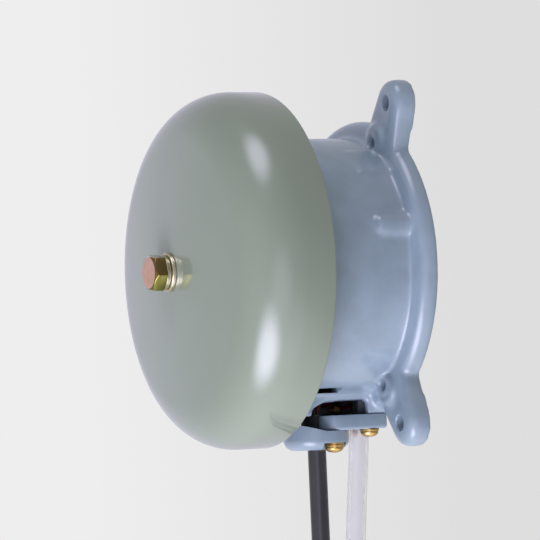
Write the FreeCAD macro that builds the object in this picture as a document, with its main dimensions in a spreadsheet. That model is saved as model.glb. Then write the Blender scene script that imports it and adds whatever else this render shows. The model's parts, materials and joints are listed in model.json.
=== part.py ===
"""Wall-mounted electric gong bell, built as a parametric FreeCAD document.

Frame: +X right, +Z up, the wall is the plane Y = 0 and the gong faces -Y.
The origin is the centre of the three-hole mounting circle, on the wall.
Lengths are millimetres. A "front distance" is the distance from the wall, -Y.
"""
import FreeCAD, Part
import math
import os
import re
from types import SimpleNamespace

import Sketcher
from FreeCAD import Placement, Rotation, Vector

# ---------------------------------------------------------------- driving dimensions
SIZES = {
    # gong
    "gong_radius": 75.0,
    "gong_depth": 40.2,
    "gong_dome": 345.0,
    "gong_wall": 3.0,
    "gong_shoulder": 23.7,
    "rim_distance": 54.2,
    "rim_round": 0.7,
    # housing casting
    "housing_radius": 55.4,
    "housing_wall": 3.0,
    "housing_front": 57.0,
    "front_wall": 4.0,
    "flange_wide": 7.2,
    "flange_back": 0.6,
    "flange_front": 9.3,
    "flange_round": 5.5,
    "root_round": 1.5,
    "nose_round": 2.5,
    # mounting lugs
    "lug_reach": 14.4,
    "lug_hole": 3.25,
    "lug_tip": 10.0,
    "lug_root": 14.5,
    "lug_inset": 7.4,
    "lug_front": 9.7,
    "lug_round": 5.0,
    "foot_back": 7.5,
    "lug_boss": 6.6,
    "lug_boss_inset": 1.8,
    "lug_boss_front": 12.2,
    "lug_boss_round": 1.3,
    "lug_dimple": 2.4,
    "lug_dimple_inset": 2.5,
    "lug_dimple_floor": 7.8,
    # bosses cast on the outside of the wall
    "rib_inset": 2.6,
    "rib_radius": 5.8,
    "rib_front": 25.0,
    "pad_inset": 5.4,
    "pad_proud": 0.8,
    "pad_half": 8.0,
    "pad_front": 24.0,
    # back cover
    "cover_rim": 5.0,
    "cover_clear": 0.4,
    "recess_front": 5.0,
    "cover_back": 2.4,
    "cover_thick": 1.6,
    "cover_screw_inset": 3.2,
    "cover_screw": 1.5,
    "cover_screw_deep": 10.0,
    "cover_screw_head": 3.0,
    "cover_screw_head_high": 1.9,
    "cover_boss": 4.3,
    "cover_boss_front": 18.0,
    # gong post, bolt and washers
    "post_radius": 8.0,
    "thread_radius": 4.0,
    "thread_clear": 0.05,
    "bolt_flats": 14.0,
    "bolt_head": 5.5,
    "bolt_reach": 21.0,
    "bolt_bevel": 0.3,
    "bolt_bevel_deep": 3.0,
    "flat_washer": 8.2,
    "flat_thick": 1.6,
    "spring_washer": 7.3,
    "spring_thick": 2.1,
    "spring_split": 1.0,
    "seat_radius": 11.0,
    "seat_thick": 1.5,
    "seat_clear": 0.1,
    "nut_flats": 13.0,
    "nut_thick": 6.5,
    "post_tail": 2.0,
    # mechanism frame
    "frame_half": 29.0,
    "frame_gauge": 2.5,
    "frame_low": 28.0,
    "shelf_low": 14.5,
    "shelf_back": 10.0,
    "frame_screw_x": 22.0,
    "frame_screw_z": 20.0,
    "frame_screw": 2.0,
    "frame_screw_cap": 3.8,
    "frame_screw_head": 2.4,
    "ear_rear": 7.0,
    "ear_low": 22.0,
    "ear_rise": 4.5,
    # electromagnet
    "coil_x": 13.0,
    "coil_front": 20.0,
    "yoke_half": 20.0,
    "yoke_width": 13.0,
    "yoke_thick": 6.0,
    "core_radius": 5.0,
    "core_clear": 0.05,
    "pole_top": 30.0,
    "bobbin_wall": 1.0,
    "bobbin_flange": 11.0,
    "flange_thick": 1.5,
    "pole_proud": 4.0,
    "winding_radius": 10.2,
    # armature and striker
    "pivot_front": 38.0,
    "pivot_rise": 4.7,
    "pin_radius": 2.0,
    "pin_clear": 0.05,
    "pin_proud": 2.0,
    "knuckle_radius": 3.7,
    "armature_half": 20.0,
    "air_gap": 1.3,
    "armature_thick": 3.2,
    "armature_back": 8.0,
    "arm_boss_half": 5.0,
    "arm_boss_out": 9.0,
    "rod_radius": 2.0,
    "press_clear": 0.02,
    "rod_inset": 3.8,
    "rod_bend": 6.0,
    "head_inward": 9.3,
    "head_inset": 10.6,
    "head_radius": 6.0,
    "slot_half": 5.0,
    "slot_below": 5.5,
    "slot_above": 6.5,
    "boot_lip": 1.5,
    "boot_wall": 1.4,
    "guide_radius": 0.95,
    "guide_height": 28.0,
    "guide_clear": 0.15,
    "spring_wire": 0.35,
    "spring_turns": 12,
    # contact breaker
    "contact_x": 14.5,
    "contact_back": 10.0,
    "contact_gap": 0.1,
    "leaf_half": 3.0,
    "leaf_thick": 0.5,
    "leaf_front": 30.0,
    "leaf_back": 8.5,
    "tip_radius": 1.6,
    "tip_height": 1.0,
    "rivet_radius": 1.3,
    "rivet_high": 0.9,
    "rivet_pitch": 6.0,
    "bracket_rise": 5.0,
    "bracket_gauge": 2.0,
    "bracket_half": 4.5,
    "bracket_drop": 2.0,
    "bracket_over": 4.0,
    "block_thick": 4.0,
    "block_side": 1.0,
    "block_tall": 11.5,
    "block_rise": 4.5,
    "adjuster_radius": 1.5,
    "adjuster_rise": 8.0,
    "adjuster_slot": 0.9,
    "adjuster_slot_half": 0.3,
    "locknut_radius": 3.2,
    "locknut_thick": 2.2,
    # cable box under the housing
    "box_half": 14.0,
    "box_wall": 3.0,
    "box_drop": 7.0,
    "box_front": 50.0,
    "box_deep": 11.8,
    "cavity_back": 14.0,
    "cavity_front": 38.0,
    "channel_half": 5.0,
    "window_tall": 6.2,
    "window_front": 37.4,
    "window_nose": 5.0,
    "window_brow": 0.6,
    "window_shoulder": 24.0,
    "window_rear": 11.2,
    "vent_rise": 9.4,
    "vent_tall": 2.1,
    "vent_back": 26.6,
    "vent_front": 40.0,
    "vent_reach": 10.0,
    # gland plate, cable cap and their screws
    "plate_thick": 6.4,
    "plate_back": 2.0,
    "plate_front": 31.0,
    "plate_corner": 7.0,
    "plate_round": 2.0,
    "plate_screw_deep": 6.0,
    "screw_end_gap": 0.5,
    "tube_front": 8.8,
    "plate_screw_x": 9.5,
    "cable_front": 29.3,
    "cap_thick": 8.0,
    "cap_radius": 14.0,
    "cap_round": 4.5,
    "cap_rise": 4.1,
    "cap_lip_gap": 0.3,
    "cap_screw_x": 8.6,
    "cap_screw_inset": 4.1,
    "spot_radius": 4.6,
    "spot_deep": 2.9,
    "spot_open": 7.2,
    "screw_radius": 2.0,
    "screw_clear": 0.1,
    "screw_head": 3.8,
    "screw_head_high": 2.7,
    "screw_washer": 4.2,
    "screw_washer_thick": 0.8,
    "cap_washer_thick": 1.6,
    "packing_wall": 2.4,
    # cable, clear tube and terminals
    "cable_radius": 3.9,
    "cable_clear": 0.1,
    "tube_radius": 4.2,
    "tube_bore": 2.6,
    "wire_radius": 0.9,
    "terminal_deep": 5.0,
    "terminal_gap": 0.5,
    "terminal_tall": 9.4,
    "terminal_back": 14.6,
    "terminal_front": 36.0,
    "terminal_screw": 1.8,
    "terminal_screw_high": 1.8,
    "terminal_thread": 1.3,
    "terminal_thread_deep": 3.5,
    "terminal_rise": 2.4,
    "terminal_a": 16.5,
    "terminal_b": 31.0,
}
# Sizes and places that follow from the driving ones, each a plain sum.
FOLLOWING = {
    "flange_radius": "housing_radius + flange_wide",
    "lug_circle": "flange_radius + lug_reach",
    "lug_start": "housing_radius - lug_inset",
    "foot_start": "lug_circle - foot_back",
    "lug_boss_circle": "flange_radius - lug_boss_inset",
    "lug_dimple_circle": "lug_boss_circle - lug_dimple_inset",
    "rib_centre": "housing_radius - rib_inset",
    "pad_start": "housing_radius - pad_inset",
    "pad_flat": "housing_radius + pad_proud",
    "cover_radius": "flange_radius - cover_rim",
    "cover_screw_circle": "housing_radius - housing_wall - cover_screw_inset",
    "ear_back": "pivot_front - ear_rear",
    "ear_top": "pivot_z + ear_rise",
    "bobbin_top": "pole_top - pole_proud",
    "armature_low": "pole_top + air_gap",
    "pivot_z": "armature_low + pivot_rise",
    "pin_half": "frame_half + pin_proud",
    "arm_boss_front": "pivot_front + arm_boss_out",
    "rod_start": "pivot_front + rod_inset",
    "head_front": "rim_distance + head_inward",
    "head_z": "gong_radius - head_inset",
    "slot_low": "pivot_z - slot_below",
    "slot_top": "pivot_z + slot_above",
    "bracket_low": "pivot_z + bracket_rise",
    "block_half": "bracket_half + block_side",
    "block_top": "bracket_low + block_rise",
    "adjuster_top": "bracket_low + adjuster_rise",
    "box_low": "housing_radius + box_drop",
    "box_roof": "box_low - box_deep",
    "window_high": "box_low - window_tall",
    "vent_low": "box_low - vent_rise",
    "vent_high": "vent_low - vent_tall",
    "plate_low": "box_low + plate_thick",
    "cap_low": "plate_low + cap_thick",
    "cap_lip": "plate_low - cap_rise",
    "cap_screw_back": "cable_front - cap_screw_inset",
    "spot_high": "cap_low - spot_deep",
    "packing_radius": "cable_radius + packing_wall",
    "terminal_low": "box_low - terminal_gap",
    "terminal_z": "box_low - terminal_rise",
}
LUG_ANGLES = (60, 180, 300)
COVER_SCREW_ANGLES = (0, 120, 240)
RIB_ANGLE = 16
PAD_ANGLE = 50
BOLT_TURN = 19.4


def total(text):
    """The length that a plain sum of sizes comes to."""
    length = 0.0
    for sign, name in re.findall(r"([-+]?) *([a-z_]+)", text):
        size = SIZES[name] if name in SIZES else total(FOLLOWING[name])
        length += -size if sign == "-" else size
    return length


S = SimpleNamespace(**SIZES, **{name: total(text) for name, text in FOLLOWING.items()})

doc = FreeCAD.newDocument("gong_bell")
sheet = doc.addObject("Spreadsheet::Sheet", "Sizes")
for row, (alias, length) in enumerate(SIZES.items(), start=1):
    sheet.set(f"A{row}", alias)
    sheet.set(f"B{row}", str(length))
    sheet.setAlias(f"B{row}", alias)
doc.recompute()

PLANES = {"front": "XZ_Plane", "side": "YZ_Plane", "top": "XY_Plane"}
nodes = []


def bound(text):
    """The same expression with each size read from the sheet."""
    def read(found):
        name = found[0]
        if name in FOLLOWING:
            return "(" + bound(FOLLOWING[name]) + ")"
        return "Sizes." + name if name in SIZES else name
    return re.sub(r"[a-z][a-z_]*", read, text)


# ---------------------------------------------------------------- sketch shapes
def disc(x, y, radius):
    return ("disc", (x, y), radius)


def outline(*corners):
    return ("outline", corners)


def box(x0, y0, x1, y1):
    return outline((x0, y0), (x1, y0), (x1, y1), (x0, y1))


class Piece:
    """One sub-part: a PartDesign body whose sketches and features read the sheet.

    A "front" sketch holds (x, z) and grows away from the wall, a "side" sketch
    holds (front distance, z) and grows along +X, and a "top" sketch holds
    (x, front distance) and grows upwards. A turned front sketch has its first
    axis along that radius of the bell.
    """

    def __init__(self, label, whole=True):
        self.body = doc.addObject("PartDesign::Body", label)
        self.body.Label = label
        self.body.AllowCompound = True
        if whole:
            nodes.append(self.body)

    def add(self, kind):
        return self.body.newObject(kind, self.body.Name + "_" + kind.split("::")[1])

    def sketch(self, plane, start, shapes, turn=0):
        sketch = self.add("Sketcher::SketchObject")
        role = PLANES[plane]
        support = [f for f in self.body.Origin.OriginFeatures if f.Role == role]
        sketch.AttachmentSupport = [(support[0], "")]
        sketch.MapMode = "FlatFace"
        sketch.AttachmentOffset = Placement(Vector(), Rotation(Vector(0, 0, 1), turn))
        sketch.setExpression("AttachmentOffset.Base.z", bound(start))
        for shape in shapes:
            if shape[0] == "disc":
                self.draw_disc(sketch, plane, shape[1], shape[2])
            else:
                self.draw_outline(sketch, plane, shape[1])
        return sketch

    def pin_point(self, sketch, plane, edge, end, point):
        """Fix one sketch point at bound coordinates, front distances being -Y."""
        signs = {"front": ("", ""), "side": ("-", ""), "top": ("", "-")}[plane]
        for kind, sign, text in zip(("DistanceX", "DistanceY"), signs, point):
            index = sketch.addConstraint(Sketcher.Constraint(kind, -1, 1, edge, end, 1.0))
            sketch.setExpression(f"Constraints[{index}]", bound(f"{sign}({text})"))

    def draw_disc(self, sketch, plane, centre, radius):
        edge = sketch.addGeometry(Part.Circle(Vector(), Vector(0, 0, 1), 1.0))
        self.pin_point(sketch, plane, edge, 3, centre)
        index = sketch.addConstraint(Sketcher.Constraint("Radius", edge, 1.0))
        sketch.setExpression(f"Constraints[{index}]", bound(radius))

    def draw_outline(self, sketch, plane, corners):
        count = len(corners)
        start = [Vector(math.cos(2 * math.pi * i / count), math.sin(2 * math.pi * i / count), 0)
                 for i in range(count)]
        edges = [sketch.addGeometry(Part.LineSegment(start[i], start[(i + 1) % count]))
                 for i in range(count)]
        for i in range(count):
            following = edges[(i + 1) % count]
            sketch.addConstraint(Sketcher.Constraint("Coincident", edges[i], 2, following, 1))
            self.pin_point(sketch, plane, edges[i], 1, corners[i])

    def feature(self, kind, sketch, length):
        feature = self.add(kind)
        feature.Profile = sketch
        feature.setExpression("Length", bound(length))
        return feature

    def pad(self, plane, start, length, *shapes, turn=0):
        self.feature("PartDesign::Pad", self.sketch(plane, start, shapes, turn), length)
        return self

    def pocket(self, plane, start, length, *shapes, turn=0):
        """Cut from start towards the growing side of the plane."""
        cut = self.feature("PartDesign::Pocket", self.sketch(plane, start, shapes, turn), length)
        cut.Reversed = True
        doc.recompute()
        before = cut.BaseFeature.Shape.Volume
        if cut.Shape.Volume > before - 1e-3:
            raise RuntimeError(f"{cut.Name} cuts nothing")
        return self

    def turned(self, *corners, cut=False):
        """Spin an outline of (front distance, radius) about the bell's axis."""
        sketch = self.sketch("side", "0", [outline(*corners)])
        feature = self.add("PartDesign::Groove" if cut else "PartDesign::Revolution")
        feature.Profile = sketch
        feature.ReferenceAxis = (sketch, ["H_Axis"])
        feature.Angle = 360
        return self

    def join(self, other, kind="Fuse"):
        feature = self.add("PartDesign::Boolean")
        feature.Type = kind
        feature.setObjects([other.body])
        return self

    def shell(self, wall, axis, place):
        """Hollow the solid inwards, leaving it open at its flat face there."""
        doc.recompute()
        base = self.body.Tip
        names = [f"Face{i}" for i, face in enumerate(base.Shape.Faces, start=1)
                 if all(near(getattr(v.Point, axis), place) for v in face.Vertexes)]
        feature = self.add("PartDesign::Thickness")
        feature.Base = (base, names[:1])
        feature.Reversed = True
        feature.setExpression("Value", bound(wall))
        return self

    def round_edges(self, radius, chosen):
        """Fillet the edges that chosen(edge) accepts."""
        doc.recompute()
        base = self.body.Tip
        names = [f"Edge{i}" for i, edge in enumerate(base.Shape.Edges, start=1) if chosen(edge)]
        if not names:
            raise RuntimeError(f"{self.body.Label}: no edge to round")
        feature = self.add("PartDesign::Fillet")
        feature.Base = (base, names)
        feature.setExpression("Radius", bound(radius))
        return self


def near(a, b):
    return abs(a - b) < 0.01


def ring_edge(radius, axis, place):
    """Accepts whole circles of one radius whose centre lies at place on an axis."""
    def chosen(edge):
        curve = edge.Curve
        return (isinstance(curve, Part.Circle) and near(curve.Radius, radius)
                and near(getattr(curve.Center, axis), place))
    return chosen


def flat_edge(axis, place):
    """Accepts edges that lie in the plane where one coordinate has one value."""
    def chosen(edge):
        return all(near(getattr(v.Point, axis), place) for v in edge.Vertexes)
    return chosen


def upright_edge(x, y):
    """Accepts vertical edges over one point of the plan."""
    def chosen(edge):
        ends = edge.Vertexes
        return len(ends) == 2 and all(near(v.X, x) and near(v.Y, y) for v in ends)
    return chosen


# ---------------------------------------------------------------- housing casting
def housing():
    piece = Piece("housing")
    piece.pad("front", "flange_back", "housing_front - flange_back", disc("0", "0", "housing_radius"))
    piece.pad("front", "flange_back", "flange_front - flange_back", disc("0", "0", "flange_radius"))
    piece.round_edges("flange_round", ring_edge(S.flange_radius, "y", -S.flange_front))
    piece.round_edges("root_round", ring_edge(S.housing_radius, "y", -S.flange_front))
    piece.round_edges("root_round", ring_edge(S.housing_radius, "y", -S.housing_front))
    cast_bosses(piece)
    cast_lugs(piece)
    cast_cable_box(piece)
    hollow(piece)
    return piece


def cast_bosses(piece):
    """A long rib and a low flat pad beside the flange."""
    piece.pad("front", "flange_back", "pad_front - flange_back",
              box("pad_start", "-pad_half", "pad_flat", "pad_half"), turn=PAD_ANGLE)
    piece.pad("front", "flange_back", "rib_front - flange_back",
              disc("rib_centre", "0", "rib_radius"), turn=RIB_ANGLE)
    rib_nose = flat_edge("y", -S.rib_front)
    piece.round_edges("nose_round", lambda edge: rib_nose(edge) and near(edge.Curve.Radius, S.rib_radius))


def cast_lugs(piece):
    """Three lugs on the flange, each with a raised foot, a bolt hole and a dimpled boss."""
    lugs = Piece("housing_lugs", whole=False)
    slope = "(lug_root - lug_tip) / (lug_circle - lug_start)"
    tangent = (f"lug_circle + lug_tip * {slope}", f"lug_tip * sqrt(1 - ({slope})^2)")
    for angle in LUG_ANGLES:
        lugs.pad("front", "0", "lug_front",
                 outline(("lug_start", "-lug_root"), (tangent[0], "-" + tangent[1]),
                         tangent, ("lug_start", "lug_root")), turn=angle)
        lugs.pad("front", "0", "lug_front", disc("lug_circle", "0", "lug_tip"), turn=angle)
        lugs.pocket("front", "0", "flange_back",
                    box("lug_start - 1", "-lug_root - 1", "foot_start", "lug_root + 1"), turn=angle)
    lugs.round_edges("lug_round", flat_edge("y", -S.lug_front))
    for angle in LUG_ANGLES:
        lugs.pad("front", "flange_back", "lug_boss_front - flange_back",
                 disc("lug_boss_circle", "0", "lug_boss"), turn=angle)
    lugs.round_edges("lug_boss_round", flat_edge("y", -S.lug_boss_front))
    piece.join(lugs)
    for angle in LUG_ANGLES:
        piece.pocket("front", "0", "lug_front + 1", disc("lug_circle", "0", "lug_hole"), turn=angle)
        piece.pocket("front", "lug_dimple_floor", "lug_boss_front - lug_dimple_floor + 1",
                     disc("lug_dimple_circle", "0", "lug_dimple"), turn=angle)


def cast_cable_box(piece):
    """The wiring box under the housing, with its side window and vent slot."""
    inside = "housing_radius - housing_wall * 3"
    piece.pad("top", "-box_low", f"box_low - ({inside})",
              box("-box_half", "flange_back", "box_half", "box_front"))
    piece.pocket("top", "-box_low", "box_low - box_roof",
                 box("-box_half + box_wall", "cavity_back", "box_half - box_wall", "cavity_front"))
    piece.pocket("top", "-box_low", "box_low - box_roof",
                 box("-channel_half", "recess_front + 1", "channel_half", "cavity_back + 1"))
    piece.pocket("side", "box_half - box_wall - 1", "box_wall + 2",
                 outline(("window_front", "-box_low"), ("window_front", "-window_high - window_nose"),
                         ("plate_front", "-window_high - window_brow"),
                         ("window_shoulder", "-window_high"), ("window_rear", "-window_high"),
                         ("window_rear", "-box_low")))
    piece.pocket("side", "box_half - box_wall - 1", "box_wall + 1 + vent_reach",
                 box("vent_back", "-vent_low", "vent_front", "-vent_high"))
    piece.pocket("top", "-flange_radius - 1", "flange_radius + 1 - box_low",
                 box("-box_half - 1", "0", "box_half + 1", "box_front"))
    screw_hole = [disc(side + "plate_screw_x", "tube_front", "screw_radius") for side in ("", "-")]
    piece.pocket("top", "-box_low", "plate_screw_deep", *screw_hole)


def hollow(piece):
    """Open the inside from the back, then add what the inside carries."""
    piece.pocket("front", "0", "housing_front - front_wall",
                 disc("0", "0", "housing_radius - housing_wall"))
    piece.pocket("front", "0", "recess_front", disc("0", "0", "cover_radius + cover_clear"))
    for angle in COVER_SCREW_ANGLES:
        start = "cover_back + cover_thick"
        piece.pad("front", start, f"cover_boss_front - {start}",
                  disc("cover_screw_circle", "0", "cover_boss"), turn=angle)
        piece.pocket("front", start, "cover_screw_deep + 1", disc("cover_screw_circle", "0", "cover_screw"),
                     turn=angle)
    holes = [disc("0", "0", "thread_radius + screw_clear"),
             box("-slot_half", "slot_low", "slot_half", "slot_top")]
    holes += [disc(x + "frame_screw_x", z + "frame_screw_z", "frame_screw + thread_clear")
              for x in ("", "-") for z in ("", "-")]
    piece.pocket("front", "housing_front - front_wall", "front_wall", *holes)


# ---------------------------------------------------------------- back cover
def back_cover():
    seat = "cover_back + cover_thick"
    Piece("back_gasket").pad("front", seat, f"recess_front - ({seat})", disc("0", "0", "cover_radius"),
                             disc("0", "0", "cover_screw_circle + cover_boss + cover_clear"))
    cover = Piece("back_cover")
    cover.pad("front", "cover_back", "cover_thick", disc("0", "0", "cover_radius"))
    screws = Piece("back_cover_screws")
    for angle in COVER_SCREW_ANGLES:
        cover.pocket("front", "cover_back", "cover_thick",
                     disc("cover_screw_circle", "0", "cover_screw + screw_clear"), turn=angle)
        screws.pad("front", "cover_back", "cover_thick + cover_screw_deep",
                   disc("cover_screw_circle", "0", "cover_screw - thread_clear"), turn=angle)
        screws.pad("front", "cover_back - cover_screw_head_high", "cover_screw_head_high",
                   disc("cover_screw_circle", "0", "cover_screw_head"), turn=angle)


# ---------------------------------------------------------------- gong and its fixing
APEX = "rim_distance + gong_depth"
CROWN = APEX + " - gong_wall"
INNER_DOME = "(gong_dome - gong_wall)"
SEAT_END = f"{CROWN} - ({INNER_DOME} - sqrt({INNER_DOME}^2 - seat_radius^2)) - seat_clear"
POST_END = SEAT_END + " - seat_thick"


def gong():
    """A sheet gong with a shallow domed face, a round shoulder and a straight skirt."""
    piece = Piece("gong")
    piece.pad("front", "rim_distance", "gong_depth", disc("0", "0", "gong_radius"))
    dome = Piece("gong_face", whole=False)
    ball = dome.add("PartDesign::AdditiveSphere")
    ball.Placement = Placement(Vector(), Rotation(Vector(1, 0, 0), 90))
    ball.setExpression("Radius", bound("gong_dome"))
    ball.setExpression("Placement.Base.y", bound(f"gong_dome - ({APEX})"))
    piece.join(dome, "Common")
    piece.round_edges("gong_shoulder", lambda edge: all(
        v.Y < -S.rim_distance - S.gong_wall and near(math.hypot(v.X, v.Z), S.gong_radius)
        for v in edge.Vertexes))
    piece.shell("gong_wall", "y", -S.rim_distance)
    piece.pocket("front", CROWN + " - 1", "gong_wall + 1", disc("0", "0", "thread_radius + screw_clear"))
    piece.round_edges("rim_round", ring_edge(S.gong_radius, "y", -S.rim_distance))


def gong_fixing():
    post = Piece("gong_post")
    post.pad("front", "housing_front", f"{POST_END} - housing_front", disc("0", "0", "post_radius"))
    post.pocket("front", f"{APEX} - bolt_reach", "bolt_reach + 1",
                disc("0", "0", "thread_radius + thread_clear"))
    tail = "frame_gauge + front_wall + nut_thick + post_tail"
    post.pad("front", f"housing_front - ({tail})", tail, disc("0", "0", "thread_radius - thread_clear"))

    Piece("post_nut").pad("front", "housing_front - front_wall - frame_gauge - nut_thick", "nut_thick",
                          hexagon("nut_flats"), disc("0", "0", "thread_radius"))
    bolt_hole = disc("0", "0", "thread_radius + screw_clear")
    Piece("gong_seat_washer").pad("front", POST_END, "seat_thick", disc("0", "0", "seat_radius"), bolt_hole)
    Piece("flat_washer").pad("front", APEX, "flat_thick", disc("0", "0", "flat_washer"), bolt_hole)
    spring = Piece("spring_washer")
    spring.pad("front", f"{APEX} + flat_thick", "spring_thick", disc("0", "0", "spring_washer"), bolt_hole)
    spring.pocket("front", f"{APEX} + flat_thick", "spring_thick",
                  box("-spring_split / 2", "0", "spring_split / 2", "spring_washer + 1"))

    seat = f"{APEX} + flat_thick + spring_thick"
    bolt = Piece("gong_bolt")
    bolt.pad("front", seat, "bolt_head", hexagon("bolt_flats"), turn=BOLT_TURN)
    end = f"{seat} + bolt_head"
    bolt.turned((end, "bolt_flats / 2 - bolt_bevel"), (end, "bolt_flats"),
                (f"{end} - bolt_bevel_deep", "bolt_flats"), cut=True)
    inner_end = f"{APEX} - bolt_reach + post_tail"
    bolt.pad("front", inner_end, f"{seat} - ({inner_end})", disc("0", "0", "thread_radius - thread_clear"))


def hexagon(flats):
    """A hexagon about the bell's axis with one corner up and one down."""
    half = f"{flats} / 2"
    corner = f"{flats} / sqrt(3)"
    return outline(("0", corner), (half, f"{corner} / 2"), (half, f"-{corner} / 2"),
                   ("0", f"-{corner}"), (f"-{half}", f"-{corner} / 2"), (f"-{half}", f"{corner} / 2"))


# ---------------------------------------------------------------- mechanism frame and magnet
FRAME_FRONT = "housing_front - front_wall"
FRAME_BACK = FRAME_FRONT + " - frame_gauge"


def mechanism_frame():
    """A bent plate: a face against the front wall, a shelf and two hinge ears."""
    piece = Piece("mechanism_frame")
    piece.pad("front", FRAME_BACK, "frame_gauge",
              box("-frame_half", "-frame_low", "frame_half", "frame_low"))
    piece.pad("front", "shelf_back", f"{FRAME_BACK} - shelf_back",
              box("-frame_half", "-shelf_low", "frame_half", "-shelf_low + frame_gauge"))
    tongue = box("contact_x - block_half", "frame_low", "contact_x + block_half", "block_top")
    piece.pad("front", FRAME_BACK, "frame_gauge", tongue)
    for side in ("-frame_half", "frame_half - frame_gauge"):
        piece.pad("side", side, "frame_gauge", box("ear_back", "ear_low", FRAME_FRONT, "ear_top"))
    piece.pocket("side", "-frame_half", "frame_half * 2",
                 disc("pivot_front", "pivot_z", "pin_radius + pin_clear / 5"))
    holes = [disc("0", "0", "thread_radius + screw_clear")]
    holes += [disc(x + "frame_screw_x", z + "frame_screw_z", "frame_screw + screw_clear")
              for x in ("", "-") for z in ("", "-")]
    piece.pocket("front", FRAME_BACK, "frame_gauge", *holes)
    screws = Piece("frame_screws")
    places = [(x + "frame_screw_x", z + "frame_screw_z") for x in ("", "-") for z in ("", "-")]
    screws.pad("front", FRAME_BACK, "frame_gauge + front_wall",
               *[disc(x, z, "frame_screw") for x, z in places])
    screws.pad("front", FRAME_BACK + " - frame_screw_head", "frame_screw_head",
               *[disc(x, z, "frame_screw_cap") for x, z in places])


SHELF_TOP = "-shelf_low + frame_gauge"
YOKE_TOP = SHELF_TOP + " + yoke_thick"


def magnet():
    coils = (("coil_x", "coil_front"), ("-coil_x", "coil_front"))
    yoke = Piece("magnet_yoke")
    yoke.pad("top", SHELF_TOP, "yoke_thick",
             box("-yoke_half", "coil_front - yoke_width / 2", "yoke_half", "coil_front + yoke_width / 2"))
    cores = Piece("magnet_cores")
    cores.pad("top", YOKE_TOP, f"pole_top - ({YOKE_TOP})", *[disc(x, y, "core_radius") for x, y in coils])
    bobbins = Piece("coil_bobbins")
    bore = "core_radius + core_clear"
    barrel = f"{bore} + bobbin_wall"
    for start, length, outer in ((YOKE_TOP, "flange_thick", "bobbin_flange"),
                                 (YOKE_TOP, f"bobbin_top - ({YOKE_TOP})", barrel),
                                 ("bobbin_top - flange_thick", "flange_thick", "bobbin_flange")):
        bobbins.pad("top", start, length, *[disc(x, y, outer) for x, y in coils])
    bobbins.pocket("top", YOKE_TOP, f"bobbin_top - ({YOKE_TOP})", *[disc(x, y, bore) for x, y in coils])
    windings = Piece("coil_windings")
    windings.pad("top", f"{YOKE_TOP} + flange_thick", f"bobbin_top - ({YOKE_TOP}) - flange_thick * 2",
                 *[disc(x, y, "winding_radius") for x, y in coils], *[disc(x, y, barrel) for x, y in coils])


# ---------------------------------------------------------------- armature and striker
def armature():
    pin = Piece("hinge_pin")
    pin.pad("side", "-pin_half", "pin_half * 2", disc("pivot_front", "pivot_z", "pin_radius"))
    piece = Piece("armature")
    piece.pad("top", "armature_low", "armature_thick",
              box("-armature_half", "armature_back", "armature_half", "pivot_front"))
    piece.pad("side", "-armature_half", "armature_half * 2",
              disc("pivot_front", "pivot_z", "knuckle_radius"))
    piece.pad("front", "pivot_front", "arm_boss_front - pivot_front",
              box("-arm_boss_half", "pivot_z - knuckle_radius",
                  "arm_boss_half", "pivot_z + knuckle_radius"))
    piece.pocket("side", "-armature_half", "armature_half * 2",
                 disc("pivot_front", "pivot_z", "pin_radius + pin_clear"))
    piece.pocket("front", "rod_start", "arm_boss_front - rod_start",
                 disc("0", "pivot_z", "rod_radius + press_clear"))
    tube_path("striker_rod", [(0, S.rod_start, S.pivot_z), (0, S.head_front, S.pivot_z),
                              (0, S.head_front, S.head_z - S.head_radius * 0.5)],
              S.rod_radius, bend=S.rod_bend)
    striker_head()


def striker_head():
    """A brass ball drilled for the end of the rod."""
    ball = doc.addObject("Part::Sphere", "striker_ball")
    ball.setExpression("Radius", bound("head_radius"))
    drill = doc.addObject("Part::Cylinder", "striker_drill")
    drill.setExpression("Radius", bound("rod_radius + press_clear"))
    drill.setExpression("Height", bound("head_radius * 0.5"))
    for solid, height in ((ball, "head_z"), (drill, "head_z - head_radius")):
        solid.setExpression("Placement.Base.y", bound("-head_front"))
        solid.setExpression("Placement.Base.z", bound(height))
    cut = doc.addObject("Part::Cut", "striker_head")
    cut.Base = ball
    cut.Tool = drill
    cut.Label = "striker_head"
    nodes.append(cut)


def return_spring():
    """A compression spring between the coils, on a guide pin set in the yoke."""
    guide = Piece("spring_guide")
    guide.pad("top", YOKE_TOP, "guide_height", disc("0", "coil_front", "guide_radius"))
    floor = S.frame_gauge - S.shelf_low + S.yoke_thick
    helix_height = S.armature_low - floor - 2 * S.spring_wire - 0.04
    mean = S.guide_radius + S.spring_wire + S.guide_clear
    helix = Part.makeHelix(helix_height / S.spring_turns, helix_height, mean)
    section = Part.Wire(Part.Circle(Vector(mean, 0, 0), Vector(0, 1, 0), S.spring_wire).toShape())
    feature = doc.addObject("Part::Feature", "return_spring")
    feature.Shape = Part.Wire(helix.Edges).makePipeShell([section], True, True)
    feature.Label = "return_spring"
    feature.Placement = Placement(Vector(0, -S.coil_front, floor + S.spring_wire + 0.02), Rotation())
    nodes.append(feature)


def boot():
    """A rubber bush in the slot of the front wall, clear of the rod's travel."""
    lip = ("-slot_half - boot_lip", "slot_low - boot_lip",
           "slot_half + boot_lip", "slot_top + boot_lip")
    bore = ("-slot_half + boot_wall", "slot_low + boot_wall",
            "slot_half - boot_wall", "slot_top - boot_wall")
    piece = Piece("striker_boot")
    piece.pad("front", "housing_front", "boot_lip", box(*lip), box(*bore))
    piece.pad("front", FRAME_FRONT, "front_wall",
              box("-slot_half", "slot_low", "slot_half", "slot_top"), box(*bore))


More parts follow.
